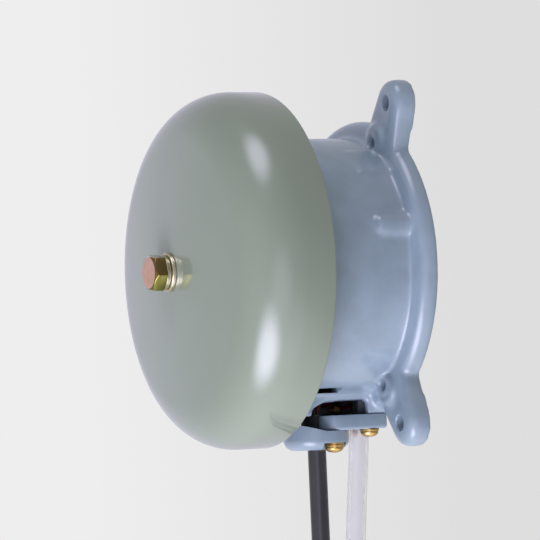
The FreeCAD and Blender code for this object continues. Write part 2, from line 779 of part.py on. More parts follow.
# ---------------------------------------------------------------- contact breaker
def contact_breaker():
    plate_top = "armature_low + armature_thick"
    leaf = Piece("contact_leaf")
    leaf.pad("top", plate_top, "leaf_thick", box("contact_x - leaf_half", "leaf_back",
                                                 "contact_x + leaf_half", "leaf_front"))
    tips = Piece("contact_tip")
    tips.pad("top", f"{plate_top} + leaf_thick", "tip_height",
             disc("contact_x", "contact_back", "tip_radius"))
    rivets = Piece("leaf_rivets")
    rivets.pad("top", f"{plate_top} + leaf_thick", "rivet_high",
               *[disc("contact_x", f"leaf_front - rivet_pitch * {step}", "rivet_radius")
                 for step in (0.5, 1.5)])

    block = Piece("contact_block")
    block.pad("front", f"{FRAME_BACK} - block_thick", "block_thick",
              box("contact_x - block_half", "block_top - block_tall",
                  "contact_x + block_half", "block_top"))
    bracket = Piece("contact_bracket")
    bracket.pad("front", f"{FRAME_BACK} - block_thick - bracket_gauge", "bracket_gauge",
                box("contact_x - bracket_half", "bracket_low - bracket_drop",
                    "contact_x + bracket_half", "block_top"))
    bracket.pad("top", "bracket_low", "bracket_gauge",
                box("contact_x - bracket_half", "contact_back - bracket_over",
                    "contact_x + bracket_half", f"{FRAME_BACK} - block_thick"))
    bracket.pocket("top", "bracket_low", "bracket_gauge",
                   disc("contact_x", "contact_back", "adjuster_radius + thread_clear"))
    screw_end = f"{plate_top} + leaf_thick + tip_height + contact_gap"
    screw = Piece("contact_screw")
    screw.pad("top", screw_end, f"adjuster_top - ({screw_end})",
              disc("contact_x", "contact_back", "adjuster_radius"))
    screw.pocket("top", "adjuster_top - adjuster_slot", "adjuster_slot",
                 box("contact_x - adjuster_slot_half", "contact_back - adjuster_radius * 2",
                     "contact_x + adjuster_slot_half", "contact_back + adjuster_radius * 2"))
    nut = Piece("contact_locknut")
    nut.pad("top", "bracket_low + bracket_gauge", "locknut_thick",
            disc("contact_x", "contact_back", "locknut_radius"),
            disc("contact_x", "contact_back", "adjuster_radius + thread_clear"))


# ---------------------------------------------------------------- cable box fittings
PLATE_SCREWS = (("plate_screw_x", "tube_front"), ("-plate_screw_x", "tube_front"))
CAP_SCREWS = (("cap_screw_x", "cap_screw_back"), ("-cap_screw_x", "cap_screw_back"))


def gland_plate():
    piece = Piece("gland_plate")
    piece.pad("top", "-plate_low", "plate_thick", box("-box_half", "plate_back", "box_half", "plate_front"))
    for side in (-1, 1):
        piece.round_edges("plate_corner", upright_edge(side * S.box_half, -S.plate_front))
    underside, back = flat_edge("z", -S.plate_low), flat_edge("y", -S.plate_back)
    piece.round_edges("plate_round", lambda edge: underside(edge) and not back(edge))
    piece.pocket("top", "-plate_low", "plate_thick",
                 disc("0", "cable_front", "packing_radius + thread_clear"),
                 disc("0", "tube_front", "tube_radius + cable_clear"),
                 *[disc(x, y, "screw_radius + screw_clear") for x, y in PLATE_SCREWS],
                 *[disc(x, y, "screw_radius + thread_clear") for x, y in CAP_SCREWS])


def cable_cap():
    """The round cap under the cable entry, its lip rising towards the front."""
    piece = Piece("cable_cap")
    piece.pad("top", "-cap_low", "cap_low - cap_lip", disc("0", "cable_front", "cap_radius"))
    piece.round_edges("cap_round", ring_edge(S.cap_radius, "z", -S.cap_low))
    piece.pocket("side", "-cap_radius - 1", "cap_radius * 2 + 2",
                 outline(("0", "-plate_low"), ("plate_front + cap_lip_gap", "-plate_low"),
                         ("cable_front + cap_radius + 1", "-cap_lip"),
                         ("cable_front + cap_radius + 1", "-cap_lip + 1"), ("0", "-cap_lip + 1")))
    piece.pocket("top", "-cap_low", "cap_low - cap_lip + 1",
                 disc("0", "cable_front", "cable_radius + cable_clear"))
    piece.pocket("top", "-plate_low", "plate_low - cap_lip + 1",
                 disc("0", "cable_front", "packing_radius + thread_clear"))
    piece.pocket("top", "-cap_low", "cap_low - cap_lip + 1",
                 *[disc(x, y, "screw_radius + screw_clear") for x, y in CAP_SCREWS])
    for side, (x, y) in zip(("", "-"), CAP_SCREWS):
        piece.pocket("top", "-cap_low", "cap_low - spot_high", disc(x, y, "spot_radius"))
        piece.pocket("top", "-cap_low", "cap_low - spot_high",
                     box(x, f"{y} - spot_radius", f"{side}(cap_radius + 1)", f"{y} + spot_open"))


def brass_screws(label, places, seat, reach, washer):
    """Pan-head screws driven upwards, each on washers of the given thickness."""
    piece = Piece(label)
    low = f"-{seat} - {washer} - screw_head_high"
    piece.pad("top", low, "screw_head_high", *[disc(x, y, "screw_head") for x, y in places])
    piece.round_edges("screw_head_high * 0.7",
                      flat_edge("z", -total(f"{seat} + {washer} + screw_head_high")))
    piece.pad("top", f"-{seat} - {washer}", washer,
              *[disc(x, y, "screw_washer") for x, y in places])
    piece.pad("top", f"-{seat}", reach, *[disc(x, y, "screw_radius - thread_clear") for x, y in places])


def packing():
    piece = Piece("cable_packing")
    piece.pad("top", "-plate_low", "plate_thick", disc("0", "cable_front", "packing_radius"),
              disc("0", "cable_front", "cable_radius"))


def terminals():
    """A moulded block on the far wall of the box, with two brass terminal screws."""
    block = Piece("terminal_block")
    block.pad("side", "-box_half + box_wall", "terminal_deep",
              box("terminal_back", "-terminal_low", "terminal_front", "-terminal_low + terminal_tall"))
    screws = Piece("terminal_screws")
    face = "-box_half + box_wall + terminal_deep"
    deep = "terminal_thread_deep"
    for place in ("terminal_a", "terminal_b"):
        screws.pad("side", face, "terminal_screw_high", disc(place, "-terminal_z", "terminal_screw"))
        block.pocket("side", f"{face} - {deep}", deep, disc(place, "-terminal_z", "terminal_thread"))
        screws.pad("side", f"{face} - {deep}", deep,
                   disc(place, "-terminal_z", "terminal_thread - thread_clear"))


# ---------------------------------------------------------------- cables, tube and leads
def tube_path(label, route, radius, bend=None, bore=None):
    """A round tube through points of (x, front distance, z).

    Straight runs are joined by tangent arcs. Each arc's radius is bend, or 0.45
    of its shorter run divided by the tangent of half the turn.
    """
    points = [Vector(x, -front, z) for x, front, z in route]
    edges = []
    radii = []
    start = points[0]
    for before, corner, after in zip(points, points[1:], points[2:]):
        back = (before - corner).normalize()
        ahead = (after - corner).normalize()
        turn = math.pi - back.getAngle(ahead)
        shorter = min((before - corner).Length, (after - corner).Length)
        arc_radius = bend or 0.45 * shorter / math.tan(turn / 2)
        setback = arc_radius * math.tan(turn / 2)
        middle = (back + ahead).normalize() * (arc_radius / math.cos(turn / 2) - arc_radius)
        arc = Part.Arc(corner + back * setback, corner + middle, corner + ahead * setback)
        edges += [Part.LineSegment(start, corner + back * setback).toShape(), arc.toShape()]
        start = corner + ahead * setback
        radii.append(round(arc_radius, 1))
    edges.append(Part.LineSegment(start, points[-1]).toShape())
    path = Part.Wire(edges)
    direction = (points[1] - points[0]).normalize()
    shape = swept(path, direction, radius)
    area = math.pi * radius ** 2
    if bore:
        shape = shape.cut(swept(path, direction, bore))
        area -= math.pi * bore ** 2
    print(f"{label}: length {path.Length:.1f}, radii {radii}, "
          f"volume / (section x length) {shape.Volume / (area * path.Length):.4f}")
    feature = doc.addObject("Part::Feature", label)
    feature.Shape = shape
    feature.Label = label
    nodes.append(feature)


def swept(path, direction, radius):
    section = Part.Wire(Part.Circle(path.OrderedVertexes[0].Point, direction, radius).toShape())
    return path.makePipeShell([section], True, True)


CABLE_ROUTE = [(0, 29.3, -62.0), (0, 29.3, -122.0), (1.0, 29.9, -183.0), (-1.5, 32.0, -245.0),
               (0.5, 31.4, -306.0)]
TUBE_ROUTE = [(0, 8.8, -63.2), (0, 9.2, -112.0), (-1.0, 12.2, -162.0), (0.8, 13.4, -212.0),
              (1.6, 12.6, -260.0)]
CORE_RADIUS = 1.3
CORE_LENGTH = 26.0
CORE_SPREAD = 1.7
STRIP_RADIUS = 0.7
STRIP_LENGTH = 7.0
CORE_GAP = 0.08


def cable_ends():
    """Two insulated cores with stripped ends, leaving the cut end of the cable."""
    end_x, end_front, end_z = CABLE_ROUTE[-1]
    last_x, last_front, last_z = CABLE_ROUTE[-2]
    along = Vector(end_x - last_x, -(end_front - last_front), end_z - last_z).normalize()
    end = Vector(end_x, -end_front, end_z) + along * CORE_GAP
    for label, radius, start, length in (("cable_cores", CORE_RADIUS, 0, CORE_LENGTH),
                                         ("core_wires", STRIP_RADIUS, CORE_LENGTH, STRIP_LENGTH)):
        starts = [end + Vector(side * CORE_SPREAD, 0, 0) + along * start for side in (-1, 1)]
        solids = [Part.makeCylinder(radius, length, place, along) for place in starts]
        feature = doc.addObject("Part::Feature", label)
        feature.Shape = Part.makeCompound(solids)
        feature.Label = label
        nodes.append(feature)


def leads():
    """Insulated leads inside the box, from the terminals up into the housing."""
    wire = S.wire_radius
    rise = -S.terminal_z
    face = -S.box_half + S.box_wall + S.terminal_deep + S.terminal_screw_high + wire + 0.1
    tube_path("feed_lead", [(face, S.terminal_a, rise), (face, 9.5, rise + 1.0),
                            (face - 0.5, 8.0, rise + 9.0), (face - 3.0, 7.2, rise + 20.0),
                            (face - 6.0, 7.2, rise + 36.0), (face - 9.0, 7.7, rise + 56.0)], wire, bend=3.0)
    tube_path("breaker_lead", [(face, S.terminal_b, rise), (face + 0.5, 34.5, rise + 4.0),
                               (face + 9.0, 35.5, rise + 12.0), (25.0, 38.0, -34.0), (36.0, 40.0, -14.0),
                               (38.0, 34.0, 12.0), (29.5, 27.5, 32.0), (21.5, 32.5, 44.2),
                               (17.5, 41.0, 44.1)], wire, bend=3.0)
    tube_path("cable_conductors", [(1.6, S.cable_front, -61.8), (1.8, S.cable_front - 1.0, -57.5),
                                   (-0.6, 24.0, -56.6), (face, S.terminal_a + 3.6, rise + 1.0)],
              wire, bend=2.4)


# ---------------------------------------------------------------- build, check and write
def main():
    housing()
    back_cover()
    gong()
    gong_fixing()
    mechanism_frame()
    magnet()
    armature()
    return_spring()
    boot()
    contact_breaker()
    gland_plate()
    cable_cap()
    brass_screws("gland_plate_screws", PLATE_SCREWS, "plate_low",
                 "plate_thick + plate_screw_deep - screw_end_gap", "screw_washer_thick")
    brass_screws("cable_cap_screws", CAP_SCREWS, "spot_high", "spot_high - box_low", "cap_washer_thick")
    packing()
    terminals()
    tube_path("supply_cable", CABLE_ROUTE, S.cable_radius)
    tube_path("clear_tube", TUBE_ROUTE, S.tube_radius, bore=S.tube_bore)
    cable_ends()
    leads()
    doc.recompute()
    for item in doc.Objects:
        if {"Invalid", "Error"} & set(item.State):
            raise RuntimeError(f"{item.Name}: {item.State}")
    for node in nodes:
        if node.Shape.isNull() or not node.Shape.isValid():
            raise RuntimeError(f"{node.Label} has no valid shape")
    os.makedirs("parts", exist_ok=True)
    for node in nodes:
        node.Shape.exportStep(f"parts/{node.Label}.step")
        print(f"{node.Label}: {len(node.Shape.Solids)} solids, {node.Shape.Volume:.0f} mm3")


main()
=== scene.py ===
"""Looks of a wall-mounted electric gong bell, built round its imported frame.

The axes are the frame's own: +X right, +Z up, the wall at Y = 0 and the gong
facing -Y. A "front distance" is the distance from the wall, -Y. Pieces are shaped
in millimetres and turned to metres when they are finished.
"""
import json
import math

import bmesh
import bpy
from bpy.props import FloatProperty, FloatVectorProperty, PointerProperty
from mathutils import Matrix, Vector


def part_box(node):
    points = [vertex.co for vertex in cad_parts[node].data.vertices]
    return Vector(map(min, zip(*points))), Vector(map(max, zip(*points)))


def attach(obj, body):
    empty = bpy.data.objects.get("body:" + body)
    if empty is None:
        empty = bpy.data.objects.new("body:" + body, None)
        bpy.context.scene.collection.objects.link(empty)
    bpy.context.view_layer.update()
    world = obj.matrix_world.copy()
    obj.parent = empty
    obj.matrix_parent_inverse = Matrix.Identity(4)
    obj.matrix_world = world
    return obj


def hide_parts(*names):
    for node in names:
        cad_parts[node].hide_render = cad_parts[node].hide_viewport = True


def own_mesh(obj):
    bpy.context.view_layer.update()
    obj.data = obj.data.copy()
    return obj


bl_info = {
    "name": "Electric gong bell",
    "version": (1, 0, 0),
    "blender": (4, 5, 0),
    "location": "3D View > Sidebar > Gong bell",
    "description": "Builds the gong, casting, gland, screws and cords of an electric bell",
    "category": "Object",
}

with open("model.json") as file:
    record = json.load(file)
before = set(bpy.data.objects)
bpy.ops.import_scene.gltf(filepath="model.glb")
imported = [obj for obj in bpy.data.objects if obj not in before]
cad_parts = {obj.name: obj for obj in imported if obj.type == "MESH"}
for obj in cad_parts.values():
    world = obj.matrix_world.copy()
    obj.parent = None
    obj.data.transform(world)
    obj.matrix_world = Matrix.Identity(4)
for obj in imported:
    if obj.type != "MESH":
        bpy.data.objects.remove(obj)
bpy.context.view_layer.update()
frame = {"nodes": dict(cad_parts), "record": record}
MM = 0.001
BODY = "bell_body"
STRIKER = "striker"


# ---- places read from the frame
def span(node):
    """A frame node's lowest and highest corners, in millimetres."""
    return [Vector(corner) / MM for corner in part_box(node)]


def thickness(node):
    """A frame node's size along the bell's axis, in millimetres."""
    least, most = span(node)
    return most.y - least.y


GONG_HIGH = span("gong")[1]
GONG_RADIUS = GONG_HIGH.x
GONG_RIM = -GONG_HIGH.y
GONG_APEX = -span("flat_washer")[1].y
BOLT_FRONT = -span("gong_bolt")[0].y
CASE_FRONT = -span("housing")[0].y
PLATE_LOW, PLATE_HIGH = span("gland_plate")
CAP_LOW, CAP_HIGH = span("cable_cap")
CAP_CENTRE = (0, -(CAP_LOW.y + CAP_HIGH.y) / 2)
COVER_LOW, COVER_HIGH = span("back_cover")
HEAD_LOW, HEAD_HIGH = span("striker_head")

# ---- sizes of the casting, millimetres
FLANGE_BACK, FLANGE_FRONT, FLANGE_ROUND, FLANGE_EDGE = 0.6, 9.3, 5.5, 0.8
ROOT_ROUND, NOSE_ROUND = 1.5, 2.0
FRONT_WALL = 4.0
LUG_ANGLES = (60, 180, 300)
LUG_CIRCLE, LUG_HOLE = 77.0, 3.25
LUG_START, LUG_ROOT = 48.0, 14.5
LUG_FRONT, LUG_ROUND = 9.7, 4.6
FOOT_START = 69.5
BOSS_CIRCLE, BOSS_RADIUS, BOSS_FRONT, BOSS_ROUND = 60.8, 6.6, 12.2, 1.6
DIMPLE_CIRCLE, DIMPLE_RADIUS, DIMPLE_FLOOR = 58.3, 2.4, 7.8
RIB_ANGLE, RIB_CIRCLE, RIB_RADIUS, RIB_FRONT, RIB_ROUND = 16, 52.8, 5.8, 25.0, 3.2
PAD_ANGLE, PAD_START, PAD_FLAT, PAD_HALF, PAD_FRONT = 50, 50.0, 56.2, 8.0, 24.0
BOX_HALF, BOX_WALL, BOX_FRONT, BOX_LOW, BOX_TOP = 14.0, 3.0, 50.0, -62.4, -44.0
CAVITY_BACK, CAVITY_FRONT, CAVITY_ROOF = 14.0, 38.0, -50.6
PASSAGE_HALF, PASSAGE_BACK = 5.0, 6.0
WINDOW_REAR, WINDOW_FRONT, WINDOW_ROUND = 11.2, 37.4, 3.0
WINDOW_LOW, WINDOW_HIGH = -61.2, -56.2
RECESS_RADIUS, RECESS_FRONT = 58.0, 5.0
# The striker's slot as (x, z) and the vent as (front distance, z), each from its low to its high corner.
SLOT = (-5.0, 30.5, 5.0, 42.5)
VENT = (26.6, -53.0, 40.0, -50.9)
VENT_REACH = 24.0
COVER_ANGLES, COVER_SCREW_CIRCLE = (0, 120, 240), 49.2
COVER_BOSS, COVER_THREAD, COVER_HOLE = 4.3, 1.5, 1.6
BOLT_HOLE = 4.1
FRAME_SCREW_X, FRAME_SCREW_Z, FRAME_SCREW_HOLE = 22, 20, 2.05
PLATE_SCREW_X, PLATE_THREAD, TUBE_FRONT = 9.5, 2.0, 8.8
VOXEL = 0.8


# ---- colours and shader nodes
def linear(code):
    """An sRGB hex colour as linear red, green, blue."""
    parts = [int(code[i:i + 2], 16) / 255 for i in (1, 3, 5)]
    return tuple(c / 12.92 if c <= 0.04045 else ((c + 0.055) / 1.055) ** 2.4 for c in parts)


def add(tree, kind, settings=None, links=None):
    """Adds a shader node with its properties and socket values, and links its inputs."""
    made = tree.nodes.new(kind)
    for key, value in (settings or {}).items():
        if isinstance(key, str) and hasattr(made, key):
            setattr(made, key, value)
        else:
            made.inputs[key].default_value = value
    for key, source in (links or {}).items():
        tree.links.new(source, made.inputs[key])
    return made


def new_material(name, colour, **shader_settings):
    """A material whose shader already has its plain colour and settings."""
    material = bpy.data.materials.new(name)
    material.use_nodes = True
    tree = material.node_tree
    tree.nodes.clear()
    settings = {"Base Color": (*colour, 1.0)}
    settings.update({key.replace("_", " "): value for key, value in shader_settings.items()})
    shader = add(tree, "ShaderNodeBsdfPrincipled", settings)
    add(tree, "ShaderNodeOutputMaterial", links={"Surface": shader.outputs["BSDF"]})
    where = add(tree, "ShaderNodeTexCoord").outputs["Object"]
    return material, tree, shader, where


def per_mm(size):
    """Noise scale whose features are about this many millimetres across."""
    return 1000.0 / size


def toned(colour, share):
    """The colour made darker, or past a share of 1 lighter."""
    return tuple(c * share for c in colour)


def tinted(tree, shader, where, colour, other, size):
    """Mottles the base colour between two tones in patches of this many millimetres."""
    noise = add(tree, "ShaderNodeTexNoise", {"Scale": per_mm(size), "Detail": 3.0}, {"Vector": where})
    mask = add(tree, "ShaderNodeMapRange", {"From Min": 0.35, "From Max": 0.65},
               {"Value": noise.outputs["Fac"]})
    mix = add(tree, "ShaderNodeMix", {"data_type": "RGBA", 6: (*colour, 1.0), 7: (*other, 1.0)},
              {0: mask.outputs["Result"]})
    tree.links.new(mix.outputs[2], shader.inputs["Base Color"])


def bumped(tree, shader, height, depth, strength):
    """Bumps the surface by a height, this many millimetres deep."""
    bump = add(tree, "ShaderNodeBump", {"Strength": strength, "Distance": depth * MM}, {"Height": height})
    tree.links.new(bump.outputs["Normal"], shader.inputs["Normal"])


def grained(tree, shader, where, size, detail, depth, strength):
    """Bumps the surface with noise whose features have this size, and gives the noise back."""
    noise = add(tree, "ShaderNodeTexNoise", {"Scale": per_mm(size), "Detail": detail}, {"Vector": where})
    bumped(tree, shader, noise.outputs["Fac"], depth, strength)
    return noise.outputs["Fac"]


# ---- settings
def length(name, description, size):
    """A length setting, given its default in millimetres."""
    return FloatProperty(name=name, description=description, default=size * MM, subtype="DISTANCE",
                         precision=5)


def paint(name, description, code):
    """A colour setting, given its default as a hex code."""
    return FloatVectorProperty(name=name, description=description, default=linear(code), subtype="COLOR")


class BellSizes(bpy.types.PropertyGroup):
    gong_wall: length("Gong wall", "Thickness of the gong's sheet", 3.0)
    gong_shoulder: length("Gong shoulder", "Outer radius of the gong's rounded shoulder", 23.7)
    gong_dome: length("Gong dome", "Outer radius of the gong's shallow domed face", 345.0)
    case_radius: length("Housing radius", "Outer radius of the housing's round wall", 55.4)
    case_wall: length("Housing wall", "Thickness of the housing's round wall", 3.0)
    flange_radius: length("Flange radius", "Outer radius of the housing's rear flange", 62.6)
    lug_tip: length("Lug tip", "Radius of the rounded end of each lug", 10.0)
    bolt_flats: length("Bolt flats", "Width of the gong bolt's head across its flats", 14.0)
    screw_head: length("Screw head", "Radius of the brass gland screws' heads", 3.8)
    screw_washer: length("Screw washer", "Radius of the brass gland screws' washers", 4.2)
    cable_length: length("Cable length", "Length of the supply cable from its gland", 244.0)
    cable_diameter: length("Cable diameter", "Outer diameter of the cable's sheath", 7.8)
    tube_length: length("Tube length", "Length of the clear tube from its plate", 197.0)
    tube_diameter: length("Tube diameter", "Outer diameter of the clear tube", 8.4)
    tube_wall: length("Tube wall", "Thickness of the clear tube's wall", 1.6)


class BellColours(bpy.types.PropertyGroup):
    gong: paint("Gong enamel", "Colour of the gong's stoved enamel", "#889484")
    casting: paint("Casting paint", "Colour of the housing's paint", "#90a2b2")
    cable: paint("Cable sheath", "Colour of the cable's rubber sheath", "#1c1c23")


def sizes():
    """The size settings, in millimetres."""
    group = bpy.context.scene.bell_sizes
    return {name: getattr(group, name) / MM for name in group.__annotations__}


# ---- materials
def stoved_enamel():
    """Stoved enamel on spun steel: a smooth glossy film over a duller ground, with faint orange peel."""
    base = tuple(bpy.context.scene.bell_colours.gong)
    material, tree, shader, where = new_material("stoved_enamel", base, Roughness=0.3, Coat_Weight=1.0,
                                                 Coat_Roughness=0.05)
    tinted(tree, shader, where, base, toned(base, 0.95), size=45.0)
    grained(tree, shader, where, size=2.2, detail=2.0, depth=0.012, strength=0.25)
    return material


def sprayed_casting():
    """Paint sprayed on a sand casting: the mould's ripple and grain show softly through the gloss."""
    base = tuple(bpy.context.scene.bell_colours.casting)
    material, tree, shader, where = new_material("sprayed_casting", base, Roughness=0.36, Coat_Weight=0.8,
                                                 Coat_Roughness=0.1)
    tinted(tree, shader, where, base, toned(base, 0.88), size=14.0)
    ripple = add(tree, "ShaderNodeTexNoise", {"Scale": per_mm(6.0), "Detail": 2.0}, {"Vector": where})
    grain = add(tree, "ShaderNodeTexNoise", {"Scale": per_mm(1.1), "Detail": 3.0}, {"Vector": where})
    height = add(tree, "ShaderNodeMath", {"operation": "MULTIPLY_ADD", 1: 0.12},
                 {0: grain.outputs["Fac"], 2: ripple.outputs["Fac"]})
    bumped(tree, shader, height.outputs[0], depth=0.45, strength=0.5)
    return material


def painted_shade_inside():
    """The casting's inside: a dark, matt colour that is painted shade, with coarse sand grain."""
    base = linear("#535a62")
    material, tree, shader, where = new_material("painted_shade_inside", base, Metallic=0.3, Roughness=0.7)
    tinted(tree, shader, where, base, toned(base, 0.6), size=3.0)
    grained(tree, shader, where, size=0.7, detail=4.0, depth=0.2, strength=0.6)
    return material


def drawn_metal(name, code, roughness=0.34, grain=0.4, other=None, drift=3.0):
    """Plated or bare metal: fine drawing marks that blur the highlight, and a drift of tone."""
    base = linear(code)
    material, tree, shader, where = new_material(name, base, Metallic=1.0, Roughness=roughness)
    tinted(tree, shader, where, base, linear(other) if other else toned(base, 0.85), drift)
    marks = grained(tree, shader, where, grain, detail=5.0, depth=0.01, strength=0.3)
    rough = add(tree, "ShaderNodeMapRange", {"To Min": roughness * 0.8, "To Max": roughness * 1.3},
                {"Value": marks})
    tree.links.new(rough.outputs["Result"], shader.inputs["Roughness"])
    return material


def chromated_zinc_painted_light():
    """Zinc plate with a chromate film: greenish below the axis and brown above it, that brown partly the
    film's own tint and partly painted shade on the upper flats, and a pale painted reflection on top.
    """
    greenish, brown, pale = [(*linear(code), 1.0) for code in ("#8c8648", "#8a7048", "#e0dac8")]
    material, tree, shader, where = new_material("chromated_zinc_painted_light", greenish[:3], Metallic=1.0, Roughness=0.22)
    height = add(tree, "ShaderNodeSeparateXYZ", links={0: where}).outputs["Z"]
    film = add(tree, "ShaderNodeTexNoise", {"Scale": per_mm(2.5), "Detail": 3.0}, {"Vector": where})
    place = add(tree, "ShaderNodeMath", {"operation": "MULTIPLY_ADD", 1: 2 * MM},
                {0: film.outputs["Fac"], 2: height})
    # The pale tone on top is a painted reflection, and the brown above the axis is partly painted shade.
    above, painted_reflection_mask = [add(tree, "ShaderNodeMapRange", {"From Min": low * MM, "From Max": high * MM},
                         {"Value": place.outputs[0]}).outputs["Result"]
                     for low, high in ((-1.5, 0.5), (6.8, 7.6))]
    sides = add(tree, "ShaderNodeMix", {"data_type": "RGBA", 6: greenish, 7: brown}, {0: above})
    whole = add(tree, "ShaderNodeMix", {"data_type": "RGBA", 7: pale}, {0: painted_reflection_mask, 6: sides.outputs[2]})
    tree.links.new(whole.outputs[2], shader.inputs["Base Color"])
    grained(tree, shader, where, size=0.5, detail=4.0, depth=0.01, strength=0.3)
    return material


def rubbed_zinc():
    """The same film where spanners and handling have rubbed it, thin, satin and pinkish."""
    base = linear("#cda796")
    material, tree, shader, where = new_material("rubbed_zinc", base, Metallic=0.4, Roughness=0.4)
    tinted(tree, shader, where, base, linear("#c79a80"), size=3.0)
    return material


def pale_zinc():
    """Zinc plate on the washers, its film worn to a pale cream."""
    return drawn_metal("pale_zinc", "#e9e0c8", 0.28, 0.5, "#c4ba98")


def turned_brass():
    """Machined brass: bright and warm, with the lathe's fine marks."""
    return drawn_metal("turned_brass", "#e6c68a", 0.2, 0.3, "#cfa35c")


def varnished_winding():
    """Enamelled copper wire wound in even turns 0.6 mm apart, varnished over."""
    material, tree, shader, where = new_material("varnished_winding", linear("#8e4a28"), Metallic=0.75,
                                                 Roughness=0.3, Coat_Weight=0.5)
    turns = add(tree, "ShaderNodeTexWave", {"bands_direction": "Z", "Scale": per_mm(0.6) / 20},
                {"Vector": where})
    bumped(tree, shader, turns.outputs["Fac"], depth=0.15, strength=0.8)
    return material


def moulded(name, code, roughness=0.45):
    """Moulded plastic or rubber with a slightly uneven skin."""
    base = linear(code)
    material, tree, shader, where = new_material(name, base, Roughness=roughness)
    tinted(tree, shader, where, base, toned(base, 0.85), size=5.0)
    grained(tree, shader, where, size=0.8, detail=3.0, depth=0.02, strength=0.5)
    return material


def extruded_rubber():
    """Extruded rubber sheath: near black, with a broad soft sheen and faint draw lines along it."""
    base = tuple(bpy.context.scene.bell_colours.cable)
    material, tree, shader, where = new_material("extruded_rubber", base, Roughness=0.3,
                                                 Specular_IOR_Level=1.0)
    tinted(tree, shader, where, base, toned(base, 1.5), size=9.0)
    along = add(tree, "ShaderNodeMapping", {"Scale": (1.0, 1.0, 0.03)}, {"Vector": where})
    grained(tree, shader, along.outputs["Vector"], size=0.7, detail=2.0, depth=0.03, strength=0.4)
    return material


def extruded_vinyl():
    """Extruded clear vinyl: faintly milky from its plasticiser, glossy, with a visible bore."""
    material, tree, shader, where = new_material("extruded_vinyl", linear("#fcfbff"), Roughness=0.16,
                                                 IOR=1.36, Transmission_Weight=0.85)
    grained(tree, shader, where, size=9.0, detail=0.0, depth=0.03, strength=0.1)
    return material


FINISHES = {
    "gong_enamel": stoved_enamel,
    "housing_paint": sprayed_casting,
    "plate_steel": lambda: drawn_metal("zinc_plated_steel", "#c6c9cc", 0.38, drift=22.0),
    "yellow_zinc": chromated_zinc_painted_light,
    "soft_iron": lambda: drawn_metal("soft_iron", "#7c7d80", 0.45),
    "spring_steel": lambda: drawn_metal("spring_steel", "#9fa1a6", 0.28),
    "brass": turned_brass,
    "silver_contact": lambda: drawn_metal("silver_contact", "#dcdcd8", 0.2),
    "winding_wire": varnished_winding,
    "bare_copper": lambda: drawn_metal("stranded_copper", "#d08a62", 0.3),
    "bobbin_plastic": lambda: moulded("moulded_nylon", "#e6e1d2"),
    "bakelite": lambda: moulded("phenolic_moulding", "#2a1a14", 0.35),
    "black_rubber": lambda: moulded("moulded_rubber", "#18181a", 0.6),
    "cable_sheath": extruded_rubber,
    "clear_vinyl": extruded_vinyl,
    "red_insulation": lambda: moulded("red_insulation", "#5c1618", 0.4),
    "blue_insulation": lambda: moulded("blue_insulation", "#27426e", 0.4),
}
made_finishes = {}


def finish(slot):
    """The material of a record slot, made once."""
    if slot not in made_finishes:
        made_finishes[slot] = FINISHES[slot]()
    return made_finishes[slot]


# ---- shaping tools
def arc(centre, radius, start, end, steps=8):
    """Points of an arc, its angles in degrees from the first axis towards the second."""
    angles = [math.radians(start + (end - start) * step / steps) for step in range(steps + 1)]
    return [(centre[0] + radius * math.cos(a), centre[1] + radius * math.sin(a)) for a in angles]


def turned(outline, centre=(0, 0), upright=False, steps=64):
    """A solid spun from an outline of (radius, place along the axis).

    The axis runs through centre: along the bell's axis, where centre is (x, z) and
    places are front distances, or upright, where centre is (x, front distance)
    and places are heights. An outline that leaves the axis alone makes a ring.
    """
    shape = bmesh.new()
    if upright:
        hub, axis = Vector((centre[0], -centre[1], 0)), Vector((0, 0, 1))
    else:
        hub, axis = Vector((centre[0], 0, centre[1])), Vector((0, -1, 0))
    verts = [shape.verts.new(hub + Vector((radius, 0, 0)) + axis * place) for radius, place in outline]
    edges = [shape.edges.new(pair) for pair in zip(verts, verts[1:])]
    if outline[0][0] > 0:
        edges.append(shape.edges.new((verts[-1], verts[0])))
    bmesh.ops.spin(shape, geom=verts + edges, cent=hub, axis=axis, angle=math.tau, steps=steps,
                   use_merge=True)
    bmesh.ops.remove_doubles(shape, verts=shape.verts, dist=1e-3)
    bmesh.ops.recalc_face_normals(shape, faces=shape.faces)
    return shape


def rod(radius, start, end, centre=(0, 0), upright=False, steps=64):
    """A round bar, which is also the tool for a drilled hole."""
    return turned([(0, start), (radius, start), (radius, end), (0, end)], centre, upright, steps)


def raised(outline, start, end, plane="front"):
    """A solid raised from an outline: "front" from (x, z) between two front distances,
    "top" from (x, front distance) between two heights, "side" from (front distance, z)
    between two places along X."""
    place = {"front": lambda u, v, w: Vector((u, -w, v)), "top": lambda u, v, w: Vector((u, -v, w)),
             "side": lambda u, v, w: Vector((w, -u, v))}[plane]
    shape = bmesh.new()
    face = shape.faces.new([shape.verts.new(place(u, v, start)) for u, v in outline])
    grown = bmesh.ops.extrude_face_region(shape, geom=[face])["geom"]
    bmesh.ops.translate(shape, vec=place(0, 0, end) - place(0, 0, start),
                        verts=[item for item in grown if isinstance(item, bmesh.types.BMVert)])
    bmesh.ops.recalc_face_normals(shape, faces=shape.faces)
    return shape


def rectangle(u0, v0, u1, v1):
    """An outline from its low to its high corner."""
    return ((u0, v0), (u1, v0), (u1, v1), (u0, v1))


def swung(shape, angle):
    """The shape turned about the bell's axis, its angle from +X towards +Z."""
    turn = Matrix.Rotation(math.radians(angle), 4, Vector((0, -1, 0)))
    bmesh.ops.transform(shape, matrix=turn, verts=shape.verts)
    return shape


def around(angles, make):
    """The shape that make() gives, once at each angle."""
    return [swung(make(), angle) for angle in angles]


def at(axis, place):
    """Accepts edges that lie where one coordinate has one value."""
    return lambda edge: all(abs(vert.co["xyz".index(axis)] - place) < 0.01 for vert in edge.verts)


def soften(shape, chosen, width, segments=4):
    """Rounds the chosen edges."""
    bmesh.ops.bevel(shape, geom=[edge for edge in shape.edges if chosen(edge)], offset=width,
                    offset_type="OFFSET", segments=segments, profile=0.5, affect="EDGES",
                    clamp_overlap=True, material=-1)
    return shape


